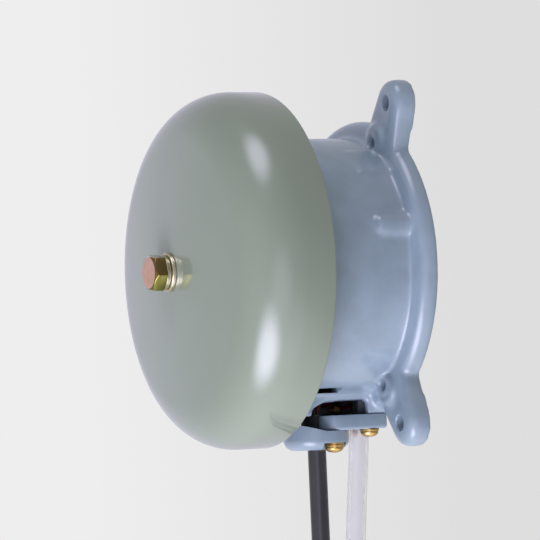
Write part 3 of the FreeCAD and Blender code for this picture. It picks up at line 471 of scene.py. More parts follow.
def merged(*shapes):
    """One mesh that holds all the shapes."""
    whole = shapes[0]
    for shape in shapes[1:]:
        mesh = bpy.data.meshes.new("part")
        shape.to_mesh(mesh)
        shape.free()
        whole.from_mesh(mesh)
        bpy.data.meshes.remove(mesh)
    return whole


def linked(name, data):
    """A new object of the scene that shows this data."""
    made = bpy.data.objects.new(name, data)
    bpy.context.scene.collection.objects.link(made)
    return made


def as_object(shape, name):
    """A new object of the scene that takes the shape over as its mesh."""
    mesh = bpy.data.meshes.new(name)
    shape.to_mesh(mesh)
    shape.free()
    return linked(name, mesh)


def reworked(shape, *steps):
    """The shape after a chain of modifiers, each given as its kind and its settings."""
    working = [as_object(shape, "working")]
    for kind, settings in steps:
        modifier = working[0].modifiers.new(kind, kind)
        for key, value in settings.items():
            if key == "object":
                value = as_object(value, "tool")
                working.append(value)
            setattr(modifier, key, value)
    result = bmesh.new()
    result.from_object(working[0], bpy.context.evaluated_depsgraph_get())
    for item in working:
        mesh = item.data
        bpy.data.objects.remove(item)
        bpy.data.meshes.remove(mesh)
    return result


def boolean(tool, operation="DIFFERENCE"):
    """A step of reworked() that cuts the tool away, or joins or keeps what it shares."""
    return ("BOOLEAN", {"operation": operation, "solver": "MANIFOLD", "object": tool})


def cut(shape, *tools):
    """The shape with every tool cut away."""
    return reworked(shape, *[boolean(tool) for tool in tools])


def edged(shape, width=0.35):
    """Takes the sharpness off every hard edge."""
    return reworked(shape, ("BEVEL", {"width": width, "segments": 2, "limit_method": "ANGLE",
                                      "angle_limit": math.radians(40)}))


def in_place(made, slot, *replaced, body=BODY):
    """Lets a piece ride on a body, in place of frame nodes; the record slot it is given is not used."""
    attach(made, body)
    if replaced:
        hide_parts(*replaced)
    return made


def finished(name, shape, slot, *replaced, body=BODY, sharp=38, coat=None, extra=()):
    """A piece in metres, without empty faces and smooth but for its sharp edges.

    It takes its slot's finish unless it has a coat of its own.
    """
    bmesh.ops.dissolve_degenerate(shape, dist=2e-3, edges=shape.edges)
    bmesh.ops.scale(shape, vec=(MM, MM, MM), verts=shape.verts)
    for face in shape.faces:
        face.smooth = True
    for edge in shape.edges:
        edge.smooth = edge.calc_face_angle(0) < math.radians(sharp)
    made = as_object(shape, name)
    for material in (coat or finish(slot), *extra):
        made.data.materials.append(material)
    return in_place(made, slot, *replaced, body=body)


# ---- frame nodes
class BELL_OT_finish_frame(bpy.types.Operator):
    """Gives every carried-over frame node the material of its record slot"""
    bl_idname = "bell.finish_frame"
    bl_label = "Finish frame nodes"

    def execute(self, context):
        for part in frame["record"]["subparts"]:
            mesh = frame["nodes"][part["node"]].data
            mesh.materials.clear()
            mesh.materials.append(finish(part["material_slot"]))
        return {"FINISHED"}


# ---- gong and its fixing
class BELL_OT_gong(bpy.types.Operator):
    """Spins the gong: a shallow domed face, a round shoulder and a straight skirt"""
    bl_idname = "bell.gong"
    bl_label = "Gong"

    def execute(self, context):
        size = sizes()
        wall, shoulder, dome, lip = size["gong_wall"], size["gong_shoulder"], size["gong_dome"], 0.7
        spread = math.degrees(math.asin((GONG_RADIUS - shoulder) / (dome - shoulder)))
        middle = (0, GONG_APEX - dome)
        turn = (GONG_RADIUS - shoulder, middle[1] + (dome - shoulder) * math.cos(math.radians(spread)))
        centre = 90 - math.degrees(math.asin(BOLT_HOLE / dome))
        outline = [*arc(middle, dome, centre, 90 - spread, 16)[:-1], *arc(turn, shoulder, 90 - spread, 0, 28),
                   *arc((GONG_RADIUS - lip, GONG_RIM + lip), lip, 0, -90, 3),
                   *arc((GONG_RADIUS - wall + lip, GONG_RIM + lip), lip, -90, -180, 3),
                   *arc(turn, shoulder - wall, 0, 90 - spread, 20)[:-1],
                   *arc(middle, dome - wall, 90 - spread, centre, 12)]
        finished("gong_shell", turned(outline, steps=180), "gong_enamel", "gong")
        return {"FINISHED"}


class BELL_OT_gong_fixing(bpy.types.Operator):
    """Makes the hexagon bolt, its split spring washer and its flat washer"""
    bl_idname = "bell.gong_fixing"
    bl_label = "Gong bolt and washers"

    def execute(self, context):
        flat_front = GONG_APEX + thickness("flat_washer")
        seat = flat_front + thickness("spring_washer")
        pale = pale_zinc()
        self.flat_washer(GONG_APEX, flat_front, pale)
        self.spring_washer(flat_front, seat, pale)
        self.bolt(seat)
        return {"FINISHED"}

    def flat_washer(self, back, front, coat):
        radius, edge = span("flat_washer")[1].x, 0.25
        outline = [(BOLT_HOLE, back), (radius - edge, back), (radius, back + edge),
                   *arc((radius - 2 * edge, front - 2 * edge), 2 * edge, 0, 90, 4), (BOLT_HOLE, front)]
        finished("flat_washer_ring", turned(outline), "yellow_zinc", "flat_washer", coat=coat)

    def spring_washer(self, back, front, coat):
        """A ring cut through once, its two ends sprung apart a little."""
        radius, edge, split, apart, steps = span("spring_washer")[1].x, 0.2, 8.0, 0.35, 60
        top = front - apart
        outline = [(BOLT_HOLE, back), (radius - edge, back), (radius, back + edge),
                   (radius, top - edge), (radius - edge, top), (BOLT_HOLE, top)]
        shape = bmesh.new()
        verts = [shape.verts.new((r, -d, 0)) for r, d in outline]
        edges = [shape.edges.new((verts[i - 1], verts[i])) for i in range(len(verts))]
        bmesh.ops.spin(shape, geom=verts + edges, cent=(0, 0, 0), axis=(0, -1, 0), steps=steps,
                       dvec=(0, -apart / steps, 0), angle=math.radians(360 - split))
        bmesh.ops.holes_fill(shape, edges=shape.edges, sides=len(outline))
        bmesh.ops.recalc_face_normals(shape, faces=shape.faces)
        finished("spring_washer_ring", swung(shape, 95), "yellow_zinc", "spring_washer", coat=coat)

    def bolt(self, seat):
        """A head with flats a few degrees off upright, chamfered at its front corners."""
        flats = sizes()["bolt_flats"]
        corner, turn = flats / math.sqrt(3), -10.6
        head = raised(arc((0, 0), corner, turn, turn + 300, 5), seat, BOLT_FRONT)
        cone = turned([(0, seat - 1), (corner + 1, seat - 1), (corner + 0.1, BOLT_FRONT - 1.5),
                       (flats / 2 - 0.5, BOLT_FRONT - 0.05), (flats / 2 - 1.0, BOLT_FRONT), (0, BOLT_FRONT)])
        head = reworked(head, boolean(cone, "INTERSECT"))
        end, wide, narrow = -span("gong_bolt")[1].y, 3.95, 3.4
        shank = turned([(0, end), (narrow, end), (wide, end + 0.6), (wide, seat + 0.2), (0, seat + 0.2)])
        shape = merged(edged(head, 0.22), shank)
        # The front of the head is the rubbed one.
        for face in shape.faces:
            if face.normal.y < -0.8 and face.calc_center_median().y < -BOLT_FRONT + 0.6:
                face.material_index = 1
        finished("gong_bolt_hexagon", shape, "yellow_zinc", "gong_bolt", extra=[rubbed_zinc()])


# ---- housing
class BELL_OT_housing(bpy.types.Operator):
    """Casts the housing: its outside as one softened skin, then its machined cuts and cavities"""
    bl_idname = "bell.housing"
    bl_label = "Housing casting"

    def execute(self, context):
        size = sizes()
        skin = {"mode": "VOXEL", "voxel_size": VOXEL}
        cast = reworked(merged(self.barrel(size), self.wiring_box(), *self.bosses(), *self.lugs(size)),
                        ("REMESH", skin), *[boolean(tool) for tool in self.cast_hollows()],
                        ("REMESH", skin), ("SMOOTH", {"factor": 0.5, "iterations": 14}))
        cast = cut(cast, *self.machined(size))
        cast = reworked(cast, *[boolean(boss, "UNION") for boss in self.cover_bosses()])
        inner = size["case_radius"] - size["case_wall"]
        # The insides of the round case and of the wiring box take the dark second material, which is painted
        # shade.
        for face in cast.faces:
            x, y, z = face.calc_center_median()
            in_case = math.hypot(x, z) < inner + 1 and 0.6 - CASE_FRONT < y < -RECESS_FRONT
            in_box = (abs(x) < BOX_HALF - BOX_WALL + 0.4 and -CAVITY_FRONT - 0.3 < y < 0.5 - PASSAGE_BACK
                      and BOX_LOW + 0.1 < z < CAVITY_ROOF + 1.6)
            if in_case or in_box:
                face.material_index = 1
        finished("housing_casting", cast, "housing_paint", "housing", extra=[painted_shade_inside()])
        return {"FINISHED"}

    def barrel(self, size):
        """The round wall with its rolled flange, spun solid."""
        radius, flange = size["case_radius"], size["flange_radius"]
        outline = [(0, FLANGE_BACK),
                   *arc((flange - FLANGE_EDGE, FLANGE_BACK + FLANGE_EDGE), FLANGE_EDGE, -90, 0, 3),
                   *arc((flange - FLANGE_ROUND, FLANGE_FRONT - FLANGE_ROUND), FLANGE_ROUND, 0, 90, 10),
                   *arc((radius + ROOT_ROUND, FLANGE_FRONT + ROOT_ROUND), ROOT_ROUND, 270, 180, 4),
                   *arc((radius - NOSE_ROUND, CASE_FRONT - NOSE_ROUND), NOSE_ROUND, 0, 90, 5),
                   (0, CASE_FRONT)]
        return turned(outline, steps=160)

    def wiring_box(self):
        """The box that carries the gland plate, as wide as the plate."""
        return raised(rectangle(-BOX_HALF, FLANGE_BACK, BOX_HALF, BOX_FRONT), BOX_LOW, BOX_TOP, "top")

    def bosses(self):
        """The rib and the flat pad on the wall, and a boss at each lug's root."""
        pad = raised(rectangle(PAD_START, -PAD_HALF, PAD_FLAT, PAD_HALF), FLANGE_BACK, PAD_FRONT)
        return [swung(self.stub(RIB_CIRCLE, RIB_RADIUS, RIB_FRONT, RIB_ROUND, 6), RIB_ANGLE),
                swung(pad, PAD_ANGLE),
                *around(LUG_ANGLES, lambda: self.stub(BOSS_CIRCLE, BOSS_RADIUS, BOSS_FRONT, BOSS_ROUND, 4))]

    def stub(self, circle, radius, front, rounding, steps):
        """A round stub on the flange, with its front edge rounded."""
        return turned([(0, FLANGE_BACK), (radius, FLANGE_BACK),
                       *arc((radius - rounding, front - rounding), rounding, 0, 90, steps), (0, front)],
                      (circle, 0), steps=40)

    def lugs(self, size):
        """Three tapered lugs with well rounded fronts, each on a raised foot."""
        tip = size["lug_tip"]
        slope = (LUG_ROOT - tip) / (LUG_CIRCLE - LUG_START)
        reach = 90 - math.degrees(math.asin(slope))
        end = arc((LUG_CIRCLE, 0), tip, -reach, reach, 24)
        foot_half = LUG_ROOT - slope * (FOOT_START - LUG_START)
        made = []
        for angle in LUG_ANGLES:
            arm = raised([(LUG_START, -LUG_ROOT), *end, (LUG_START, LUG_ROOT)], FLANGE_BACK, LUG_FRONT)
            front, root = at("y", -LUG_FRONT), at("x", LUG_START)
            soften(arm, lambda edge: front(edge) and not root(edge), LUG_ROUND, 6)
            foot = raised([(FOOT_START, -foot_half), *end, (FOOT_START, foot_half)], 0, FLANGE_BACK + 1)
            made += [swung(arm, angle), swung(foot, angle)]
        return made

    def cast_hollows(self):
        """Hollows that the mould leaves: the side window and the dimples."""
        window = [(WINDOW_FRONT, BOX_LOW - 1), (WINDOW_FRONT, WINDOW_LOW),
                  *arc((WINDOW_FRONT - WINDOW_ROUND, WINDOW_LOW), WINDOW_ROUND, 0, 50, 3), (31.0, -56.6),
                  (24.0, WINDOW_HIGH), (WINDOW_REAR, WINDOW_HIGH), (WINDOW_REAR, BOX_LOW - 1)]
        dimples = around(LUG_ANGLES, lambda: rod(DIMPLE_RADIUS, DIMPLE_FLOOR, BOSS_FRONT + 1,
                                                 (DIMPLE_CIRCLE, 0)))
        return [raised(window, BOX_HALF - 4, BOX_HALF + 2, "side"), *dimples]

    def machined(self, size):
        """Everything cut to size: the cavity and its cover seat, the box and every hole."""
        inner, floor = size["case_radius"] - size["case_wall"], CASE_FRONT - FRONT_WALL
        behind = rod(FOOT_START, -1, FLANGE_BACK, steps=160)
        cavity = turned([(0, -1), (RECESS_RADIUS, -1), (RECESS_RADIUS, RECESS_FRONT), (inner, RECESS_FRONT),
                         (inner, floor), (0, floor)], steps=160)
        terminals = rectangle(BOX_WALL - BOX_HALF, CAVITY_BACK, BOX_HALF - BOX_WALL, CAVITY_FRONT)
        passage = rectangle(-PASSAGE_HALF, PASSAGE_BACK, PASSAGE_HALF, CAVITY_BACK + 1)
        under = rectangle(-BOX_HALF - 6, 0, BOX_HALF + 6, BOX_FRONT + 5)
        screws = [(x, z, FRAME_SCREW_HOLE) for x in (-FRAME_SCREW_X, FRAME_SCREW_X)
                  for z in (-FRAME_SCREW_Z, FRAME_SCREW_Z)]
        return [behind, cavity, raised(terminals, BOX_LOW - 1, CAVITY_ROOF, "top"),
                raised(passage, BOX_LOW - 1, CAVITY_ROOF, "top"), raised(under, BOX_LOW - 3, BOX_LOW, "top"),
                raised(rectangle(*VENT), BOX_HALF - 4, VENT_REACH, "side"),
                raised(rectangle(*SLOT), floor - 1, CASE_FRONT + 1), *around(LUG_ANGLES, self.lug_hole),
                *[rod(radius, floor - 1, CASE_FRONT + 1, (x, z), steps=24)
                  for x, z, radius in [(0, 0, BOLT_HOLE), *screws]],
                *[rod(PLATE_THREAD, BOX_LOW - 1, BOX_LOW + 6, (x, TUBE_FRONT), upright=True, steps=24)
                  for x in (-PLATE_SCREW_X, PLATE_SCREW_X)]]

    def lug_hole(self):
        """A clear hole, countersunk at both faces."""
        return turned([(0, -1), (LUG_HOLE + 1.4, -1), (LUG_HOLE, 0.4), (LUG_HOLE, LUG_FRONT - 0.5),
                       (LUG_HOLE + 1.5, LUG_FRONT + 1), (0, LUG_FRONT + 1)], (LUG_CIRCLE, 0), steps=40)

    def cover_bosses(self):
        """The three tapped bosses inside the wall that take the cover's screws."""
        outline = [(COVER_THREAD, 4), (COVER_BOSS, 4), (COVER_BOSS, 18), (COVER_THREAD, 18)]
        return around(COVER_ANGLES, lambda: turned(outline, (COVER_SCREW_CIRCLE, 0), steps=32))


# ---- back cover
class BELL_OT_back_cover(bpy.types.Operator):
    """Presses the back cover and sets its three cross-recessed screws"""
    bl_idname = "bell.back_cover"
    bl_label = "Back cover and screws"

    def execute(self, context):
        radius, back, front, edge = COVER_HIGH.x, -COVER_HIGH.y, -COVER_LOW.y, 0.4
        cover = turned([(0, back), *arc((radius - edge, back + edge), edge, -90, 0, 3),
                        *arc((radius - edge, front - edge), edge, 0, 90, 3), (0, front)], steps=128)
        holes = around(COVER_ANGLES, lambda: rod(COVER_HOLE, back - 1, front + 1, (COVER_SCREW_CIRCLE, 0),
                                                 steps=24))
        finished("back_cover_plate", cut(cover, *holes), "plate_steel", "back_cover")
        screws = around(COVER_ANGLES, lambda: self.screw(back))
        finished("back_cover_pan_screws", merged(*screws), "plate_steel", "back_cover_screws")
        return {"FINISHED"}

    def screw(self, seat):
        """A pan head with a cross recess, and its shank."""
        end, low, head, shank = -span("back_cover_screws")[0].y, seat - 1.9, 3.0, 1.45
        shape = turned([(0, low), (1.2, low + 0.05), (2.2, low + 0.4), (2.8, low + 1.0), (head, seat - 0.3),
                        (head, seat), (shank, seat), (shank, end - 0.5), (1.0, end), (0, end)],
                       (COVER_SCREW_CIRCLE, 0), steps=32)
        across = [raised(rectangle(COVER_SCREW_CIRCLE - u, -v, COVER_SCREW_CIRCLE + u, v), low - 1, low + 1.1)
                  for u, v in ((1.7, 0.35), (0.35, 1.7))]
        return cut(shape, *across)


# ---- striker
class BELL_OT_striker(bpy.types.Operator):
    """Turns the striker's brass ball with its drilled seat for the rod"""
    bl_idname = "bell.striker"
    bl_label = "Striker ball"

    def execute(self, context):
        centre = (HEAD_LOW + HEAD_HIGH) / 2
        radius = (HEAD_HIGH.x - HEAD_LOW.x) / 2
        middle = HEAD_HIGH.z - radius
        bore, collar = 2.02, 2.9
        lowest = math.degrees(math.asin(-math.sqrt(radius ** 2 - collar ** 2) / radius))
        outline = [(0, middle + radius), *arc((0, middle), radius, 88, lowest, 28),
                   (bore + 0.3, middle - radius + 0.35), (bore, middle - radius + 0.8),
                   (bore, middle - radius / 2), (0, middle - radius / 2)]
        finished("striker_ball", turned(outline, (0, -centre.y), upright=True, steps=56), "brass",
                 "striker_head", body=STRIKER)
        return {"FINISHED"}


# ---- return spring
SPRING_WIRE, SPRING_TURNS = 0.35, 12


class BELL_OT_return_spring(bpy.types.Operator):
    """Winds the return spring at its resting length; on the bell the armature presses it shorter as it swings
    to the poles
    """
    bl_idname = "bell.return_spring"
    bl_label = "Return spring"

    def execute(self, context):
        least, most = span("return_spring")
        radius, middle, tall = (most.x - least.x) / 2, (least + most) / 2, most.z - least.z
        steps, sides = 24 * SPRING_TURNS, 10
        hub = Vector((middle.x, middle.y, least.z + SPRING_WIRE))
        start = (Matrix.Translation(hub + Vector((radius - SPRING_WIRE, 0, 0)))
                 @ Matrix.Rotation(math.pi / 2, 4, "X"))
        shape = bmesh.new()
        bmesh.ops.create_circle(shape, segments=sides, radius=SPRING_WIRE, matrix=start)
        bmesh.ops.spin(shape, geom=shape.verts[:] + shape.edges[:], cent=hub, axis=(0, 0, 1),
                       dvec=(0, 0, (tall - 2 * SPRING_WIRE) / steps), angle=math.tau * SPRING_TURNS,
                       steps=steps)
        bmesh.ops.holes_fill(shape, edges=shape.edges, sides=sides)
        bmesh.ops.recalc_face_normals(shape, faces=shape.faces)
        made = finished("return_spring_coil", shape, "spring_steel", "return_spring")
        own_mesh(made)
        return {"FINISHED"}


# ---- gland
PACKING_RADIUS, PACKING_BORE, PACKING_CHAMFER = 6.3, 3.9, 0.5
CABLE_HOLE, TUBE_HOLE, SCREW_HOLE = 4.0, 4.3, 2.1
CAP_SCREW_X, CAP_SCREW_FRONT = 8.6, 25.2
SPOT_RADIUS, SPOT_DEEP, SPOT_OPEN = 4.6, 2.9, 7.2


class BELL_OT_gland(bpy.types.Operator):
    """Casts the gland plate and the round cable cap, and moulds the cable's packing"""
    bl_idname = "bell.gland"
    bl_label = "Gland plate, cap and packing"

    def execute(self, context):
        self.plate()
        self.cap()
        self.packing()
        return {"FINISHED"}

    def plate(self):
        low, high, half = PLATE_LOW.z, PLATE_HIGH.z, PLATE_HIGH.x
        front, back = -PLATE_LOW.y, -PLATE_HIGH.y
        shape = raised(rectangle(-half, back, half, front), low, high, "top")
        for side in (-half, half):
            for depth, width, segments in ((front, 7.0, 10), (back, 1.5, 4)):
                over, along = at("x", side), at("y", -depth)
                soften(shape, lambda edge: over(edge) and along(edge), width, segments)
        soften(shape, at("z", low), 2.2, 5)
        soften(shape, at("z", high), 0.5, 2)
        holes = [self.hole(0, CAP_CENTRE[1], PACKING_RADIUS + 0.1), self.hole(0, TUBE_FRONT, TUBE_HOLE)]
        for side in (-1, 1):
            holes.append(self.hole(side * PLATE_SCREW_X, TUBE_FRONT, SCREW_HOLE))
            holes.append(self.hole(side * CAP_SCREW_X, CAP_SCREW_FRONT, SCREW_HOLE))
        finished("gland_plate_casting", edged(cut(shape, *holes)), "housing_paint", "gland_plate")

    def hole(self, x, front, radius, low=-90.0, high=-60.0):
        return rod(radius, low, high, (x, front), upright=True, steps=48)

    def cap(self):
        """A round cap whose lip rises in front, with a flat cut in its side for each screw."""
        low, high, radius = CAP_LOW.z, CAP_HIGH.z, CAP_HIGH.x
        plate, plate_front, ahead = PLATE_LOW.z, -PLATE_LOW.y, CAP_CENTRE[1] + radius + 1
        shape = turned([(0, low), (radius - 7, low), *arc((radius - 4.5, low + 4.5), 4.5, -90, 0, 10),
                        (radius, high), (0, high)], CAP_CENTRE, upright=True, steps=96)
        lip = [(0, plate), (plate_front + 0.3, plate), (ahead, high), (ahead, high + 2), (0, high + 2)]
        tools = [raised(lip, -radius - 1, radius + 1, "side"), self.hole(0, CAP_CENTRE[1], CABLE_HOLE),
                 self.hole(0, CAP_CENTRE[1], PACKING_RADIUS + 0.1, low=plate)]
        spot = low + SPOT_DEEP
        for side in (-1, 1):
            x, front = side * CAP_SCREW_X, CAP_SCREW_FRONT
            opened = rectangle(x, front - SPOT_RADIUS, side * (radius + 2), front + SPOT_OPEN)
            tools += [self.hole(x, front, SCREW_HOLE), self.hole(x, front, SPOT_RADIUS, high=spot),
                      raised(opened, low - 5, spot, "top")]
        finished("cable_cap_casting", edged(cut(shape, *tools), 0.5), "housing_paint", "cable_cap")

    def packing(self):
        """A rubber ring that the cap squeezes round the cable."""
        low, high = [corner.z for corner in span("cable_packing")]
        flat = PACKING_BORE + 0.4
        outline = [(PACKING_BORE, low + PACKING_CHAMFER), (flat, low), (PACKING_RADIUS, low),
                   (PACKING_RADIUS, high), (flat, high), (PACKING_BORE, high - PACKING_CHAMFER)]
        finished("cable_packing_ring", turned(outline, CAP_CENTRE, upright=True), "black_rubber",
                 "cable_packing")


class BELL_OT_gland_screws(bpy.types.Operator):
    """Sets the brass round-head screws, each on its washer, under the plate and the cap"""
    bl_idname = "bell.gland_screws"
    bl_label = "Gland screws"

    def execute(self, context):
        for name, node, x, washers, turns in (
                ("gland_plate_brass_screws", "gland_plate_screws", PLATE_SCREW_X, 1, (24, 66)),
                ("cable_cap_brass_screws", "cable_cap_screws", CAP_SCREW_X, 2, (-35, 60))):
            least, most = span(node)
            front = -(least.y + most.y) / 2
            made = [self.screw((side * x, front), least.z, most.z, washers, turn)
                    for side, turn in zip((-1, 1), turns)]
            finished(name, merged(*made), "brass", node)
        return {"FINISHED"}

    def screw(self, centre, low, high, washers, turn):
        """A domed head with a driver's slot, its shank and its washers."""
        size = sizes()
        head, tall, rim, shank, thick = size["screw_head"], 2.7, 0.7, 1.95, 0.8
        seat = low + tall
        dome = [(head * math.cos(a), seat - rim - (tall - rim) * math.sin(a))
                for a in [math.radians(90 - 10 * step) for step in range(10)]]
        shape = turned([(0, low), *dome[1:], (head, seat), (shank, seat), (shank, high - 0.6),
                        (1.4, high), (0, high)], centre, upright=True, steps=48)
        slot = raised(rectangle(-head - 1, -0.45, head + 1, 0.45), low - 1, low + 1.0, "top")
        place = Matrix.Translation((centre[0], -centre[1], 0)) @ Matrix.Rotation(math.radians(turn), 4, "Z")
        bmesh.ops.transform(slot, matrix=place, verts=slot.verts)
        rings = [self.washer(centre, size["screw_washer"], seat + thick * step, thick)
                 for step in range(washers)]
        return merged(edged(cut(shape, slot), 0.12), *rings)

    def washer(self, centre, radius, low, thick):
        high = low + thick
        return turned([(SCREW_HOLE, low), (radius - 0.2, low), (radius, low + 0.2), (radius, high - 0.1),
                       (radius - 0.1, high), (SCREW_HOLE, high)], centre, upright=True, steps=48)


# ---- cable and tube
# Route points as (x, front distance, z) in millimetres, as the cords leave their gland and hang.
CABLE_ROUTE = [(0, 29.3, -62.0), (0, 29.3, -122.0), (1.0, 29.9, -183.0), (-1.5, 32.0, -245.0),
               (0.5, 31.4, -306.0)]
TUBE_ROUTE = [(0, 8.8, -63.2), (0, 8.9, -74.0), (0, 12.6, -112.0), (-1.0, 15.0, -162.0), (0.8, 15.6, -212.0),
              (1.6, 14.6, -260.0)]


def smooth_line(name, route, diameter, slot, node):
    """A round cord whose one open spline is guided by the route's points.

    Its bevel is one metre deep and each point's radius brings it down to the cord's
    own, because the points' radii also set the curve's box.
    """
    curve = bpy.data.curves.new(name, "CURVE")
    curve.dimensions = "3D"
    spline = curve.splines.new("NURBS")
    spline.points.add(len(route) - 1)
    for held, (x, front, z) in zip(spline.points, route):
        held.co = (x * MM, -front * MM, z * MM, 1.0)
        held.radius = diameter / 2
    spline.order_u = 3
    spline.use_endpoint_u = True
    curve.resolution_u = 24
    curve.bevel_depth = 1.0
    curve.bevel_resolution = 12
    curve.materials.append(finish(slot))
    return in_place(linked(name, curve), slot, node)


class BELL_OT_cords(bpy.types.Operator):
    """Hangs the supply cable and the hollow clear tube from the gland"""
    bl_idname = "bell.cords"
    bl_label = "Cable and tube"

    def execute(self, context):
        group = context.scene.bell_sizes
        cable = smooth_line("supply_cable_sheath", CABLE_ROUTE, group.cable_diameter, "cable_sheath",
                            "supply_cable")
        cable.data.use_fill_caps = True
        tube = smooth_line("clear_tube_wall", TUBE_ROUTE, group.tube_diameter, "clear_vinyl", "clear_tube")
        wall = tube.modifiers.new("wall", "SOLIDIFY")
        wall.thickness = group.tube_wall
        wall.offset = -1.0
        return {"FINISHED"}


# ---- stage
CAMERA_AZIMUTH = math.radians(64.115)
CAMERA_ELEVATION = math.radians(-2.409)
CAMERA_ROLL = math.radians(-2.543)
CAMERA_DISTANCE = 1.3
CAMERA_LENS = 205.38
CAMERA_AIM = Vector((0.94, -48.05, -0.01)) * MM
FLOOR_DEPTH = 2.2
PAPER_SPAN = 0.06
# Diffuser panels: azimuth and elevation in degrees, half width, half height and strength.
PANELS = ((28, 65, 0.37, 0.42, 4.2), (33, -46, 0.46, 0.54, 7.5), (62, -12, 0.5, 0.55, 0.9),
          (96, -42, 0.6, 0.55, 0.6))


class BELL_OT_stage(bpy.types.Operator):
    """Sets the camera, the soft studio light, the pale paper and the floor"""
    bl_idname = "bell.stage"
    bl_label = "Stage"

    def execute(self, context):
        scene = context.scene
        scene.view_settings.view_transform = "Standard"
        self.place_camera(scene)
        self.light_studio(scene)
        self.lay_floor()
        return {"FINISHED"}

    def place_camera(self, scene):
        camera = bpy.data.cameras.new("camera")
        camera.lens = CAMERA_LENS
        made = linked("camera", camera)
        turn = (Matrix.Rotation(CAMERA_AZIMUTH, 4, "Z")
                @ Matrix.Rotation(math.pi / 2 - CAMERA_ELEVATION, 4, "X")
                @ Matrix.Rotation(CAMERA_ROLL, 4, "Z"))
        made.matrix_world = Matrix.Translation(CAMERA_AIM + turn.col[2].to_3d() * CAMERA_DISTANCE) @ turn
        scene.camera = made

    def light_studio(self, scene):
        """Lights the bell from the world, where the camera and clear plastic see pale paper."""
        world = bpy.data.worlds.new("studio")
        scene.world = world
        world.use_nodes = True
        tree = world.node_tree
        tree.nodes.clear()
        direction = add(tree, "ShaderNodeTexCoord").outputs["Generated"]
        rays = add(tree, "ShaderNodeLightPath").outputs
        seen = add(tree, "ShaderNodeMath", {"operation": "MAXIMUM"},
                   {0: rays["Is Camera Ray"], 1: rays["Is Transmission Ray"]})
        mix = add(tree, "ShaderNodeMixShader", links={0: seen.outputs[0], 1: self.light(tree, direction),
                                                      2: self.paper(tree, direction)})
        add(tree, "ShaderNodeOutputWorld", links={"Surface": mix.outputs[0]})

    def light(self, tree, direction):
        """Soft light from above, from below and from the gong's side, and diffuser panels."""
        apart = add(tree, "ShaderNodeSeparateXYZ", links={0: direction}).outputs
        room = self.lobes(tree, apart, 0.15, (("Z", 1, 3, 0.38), ("Z", -1, 3, 1.15), ("Y", 1, 1, 0.2),
                                              ("Y", -1, 3, 0.46), ("X", 1, 1, 0.13)))
        side = self.lobes(tree, apart, 0.0, (("X", -1, 3, 0.66),))
        panels = self.panel(tree, direction, *PANELS[0])
        for patch in PANELS[1:]:
            panels = add(tree, "ShaderNodeMath", {"operation": "ADD"},
                         {0: panels, 1: self.panel(tree, direction, *patch)}).outputs[0]
        lamps = [add(tree, "ShaderNodeBackground", {"Color": (*linear(code), 1.0)}, {"Strength": strength})
                 for code, strength in (("#ffffff", room), ("#e8e4ff", side), ("#ebe8ff", panels))]
        whole = lamps[0]
        for lamp in lamps[1:]:
            whole = add(tree, "ShaderNodeAddShader", links={0: whole.outputs[0], 1: lamp.outputs[0]})
        return whole.outputs[0]

    def paper(self, tree, direction):
        """Pale paper, a little darker towards the camera's right."""
        sideways = (math.cos(CAMERA_AZIMUTH), math.sin(CAMERA_AZIMUTH), 0)
        across = add(tree, "ShaderNodeVectorMath", {"operation": "DOT_PRODUCT", 1: sideways}, {0: direction})
        fade = add(tree, "ShaderNodeMapRange", {"From Min": -PAPER_SPAN, "From Max": PAPER_SPAN},
                   {"Value": across.outputs["Value"]})
        left, right = [(*linear(code), 1.0) for code in ("#eeeeee", "#dedede")]
        tone = add(tree, "ShaderNodeMix", {"data_type": "RGBA", 6: left, 7: right},
                   {0: fade.outputs["Result"]})
        return add(tree, "ShaderNodeBackground", links={"Color": tone.outputs[2]}).outputs[0]

    def lobes(self, tree, apart, level, parts):
        """A level plus broad lobes, each given as its axis, its sign, its power and its strength."""
        total = None
        for axis, sign, power, strength in parts:
            towards = add(tree, "ShaderNodeMapRange", {"From Max": sign}, {"Value": apart[axis]})
            lobe = add(tree, "ShaderNodeMath", {"operation": "POWER", 1: power},
                       {0: towards.outputs["Result"]})
            more = {"operation": "MULTIPLY_ADD", 1: strength}
            if total is None:
                total = add(tree, "ShaderNodeMath", {**more, 2: level}, {0: lobe.outputs[0]})
            else:
                total = add(tree, "ShaderNodeMath", more, {0: lobe.outputs[0], 2: total.outputs[0]})
        return total.outputs[0]

    def panel(self, tree, direction, azimuth, elevation, half_width, half_height, strength):
        """A soft-edged bright patch of the studio; azimuth 0 is straight in front of the gong."""
        a, e = math.radians(azimuth), math.radians(elevation)
        away = Vector((math.sin(a) * math.cos(e), -math.cos(a) * math.cos(e), math.sin(e)))
        placed = add(tree, "ShaderNodeMapping",
                     {"vector_type": "TEXTURE", "Location": away,
                      "Rotation": away.to_track_quat("Z", "Y").to_euler(),
                      "Scale": (half_width, half_height, 1.0)}, {"Vector": direction})
        ball = add(tree, "ShaderNodeTexGradient", {"gradient_type": "SPHERICAL"},
                   {"Vector": placed.outputs["Vector"]})
        glow = add(tree, "ShaderNodeMapRange", {"interpolation_type": "SMOOTHSTEP", "From Max": 0.75,
                                                "To Max": strength}, {"Value": ball.outputs["Fac"]})
        return glow.outputs["Result"]

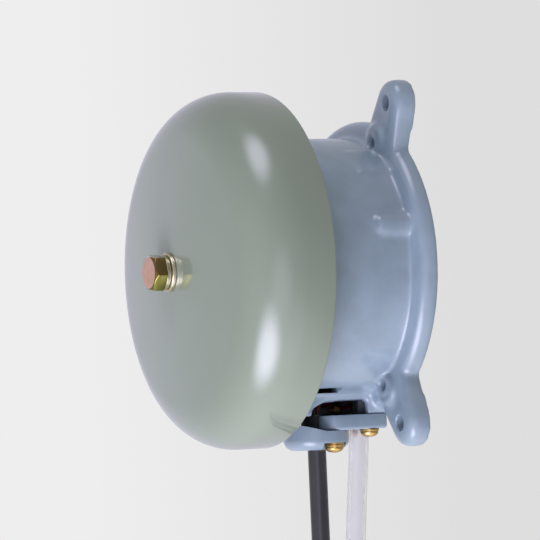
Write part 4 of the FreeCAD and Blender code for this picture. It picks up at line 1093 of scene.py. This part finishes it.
    def lay_floor(self):
        """A pale floor well below the bell; it shows and takes shadow but hides none of the light."""
        shape = bmesh.new()
        bmesh.ops.create_circle(shape, cap_ends=True, segments=96, radius=6.0,
                                matrix=Matrix.Translation((0, 0, -FLOOR_DEPTH)))
        floor = as_object(shape, "floor")
        floor.data.materials.append(new_material("pale_floor", linear("#dedede"), Roughness=0.9)[0])
        floor.visible_diffuse = False
        floor.visible_glossy = False
        floor.visible_shadow = False


# ---- panel and registration
OPERATORS = (BELL_OT_finish_frame, BELL_OT_cords, BELL_OT_gong, BELL_OT_gong_fixing, BELL_OT_housing,
             BELL_OT_back_cover, BELL_OT_striker, BELL_OT_return_spring, BELL_OT_gland, BELL_OT_gland_screws,
             BELL_OT_stage)


class BELL_PT_panel(bpy.types.Panel):
    """Lists the bell's builders and settings"""
    bl_idname = "BELL_PT_panel"
    bl_label = "Gong bell"
    bl_space_type = "VIEW_3D"
    bl_region_type = "UI"
    bl_category = "Gong bell"

    def draw(self, context):
        for group in (context.scene.bell_sizes, context.scene.bell_colours):
            for name in group.__annotations__:
                self.layout.prop(group, name)
        for operator in OPERATORS:
            self.layout.operator(operator.bl_idname)


CLASSES = (BellSizes, BellColours, *OPERATORS, BELL_PT_panel)


def register():
    for cls in CLASSES:
        bpy.utils.register_class(cls)
    bpy.types.Scene.bell_sizes = PointerProperty(type=BellSizes)
    bpy.types.Scene.bell_colours = PointerProperty(type=BellColours)


def unregister():
    del bpy.types.Scene.bell_colours
    del bpy.types.Scene.bell_sizes
    for cls in reversed(CLASSES):
        bpy.utils.unregister_class(cls)


def main():
    register()
    bpy.ops.bell.stage()
    bpy.ops.bell.finish_frame()
    bpy.ops.bell.cords()
    bpy.ops.bell.gong()
    bpy.ops.bell.gong_fixing()
    bpy.ops.bell.housing()
    bpy.ops.bell.back_cover()
    bpy.ops.bell.striker()
    bpy.ops.bell.return_spring()
    bpy.ops.bell.gland()
    bpy.ops.bell.gland_screws()


if __name__ == "__main__":
    main()
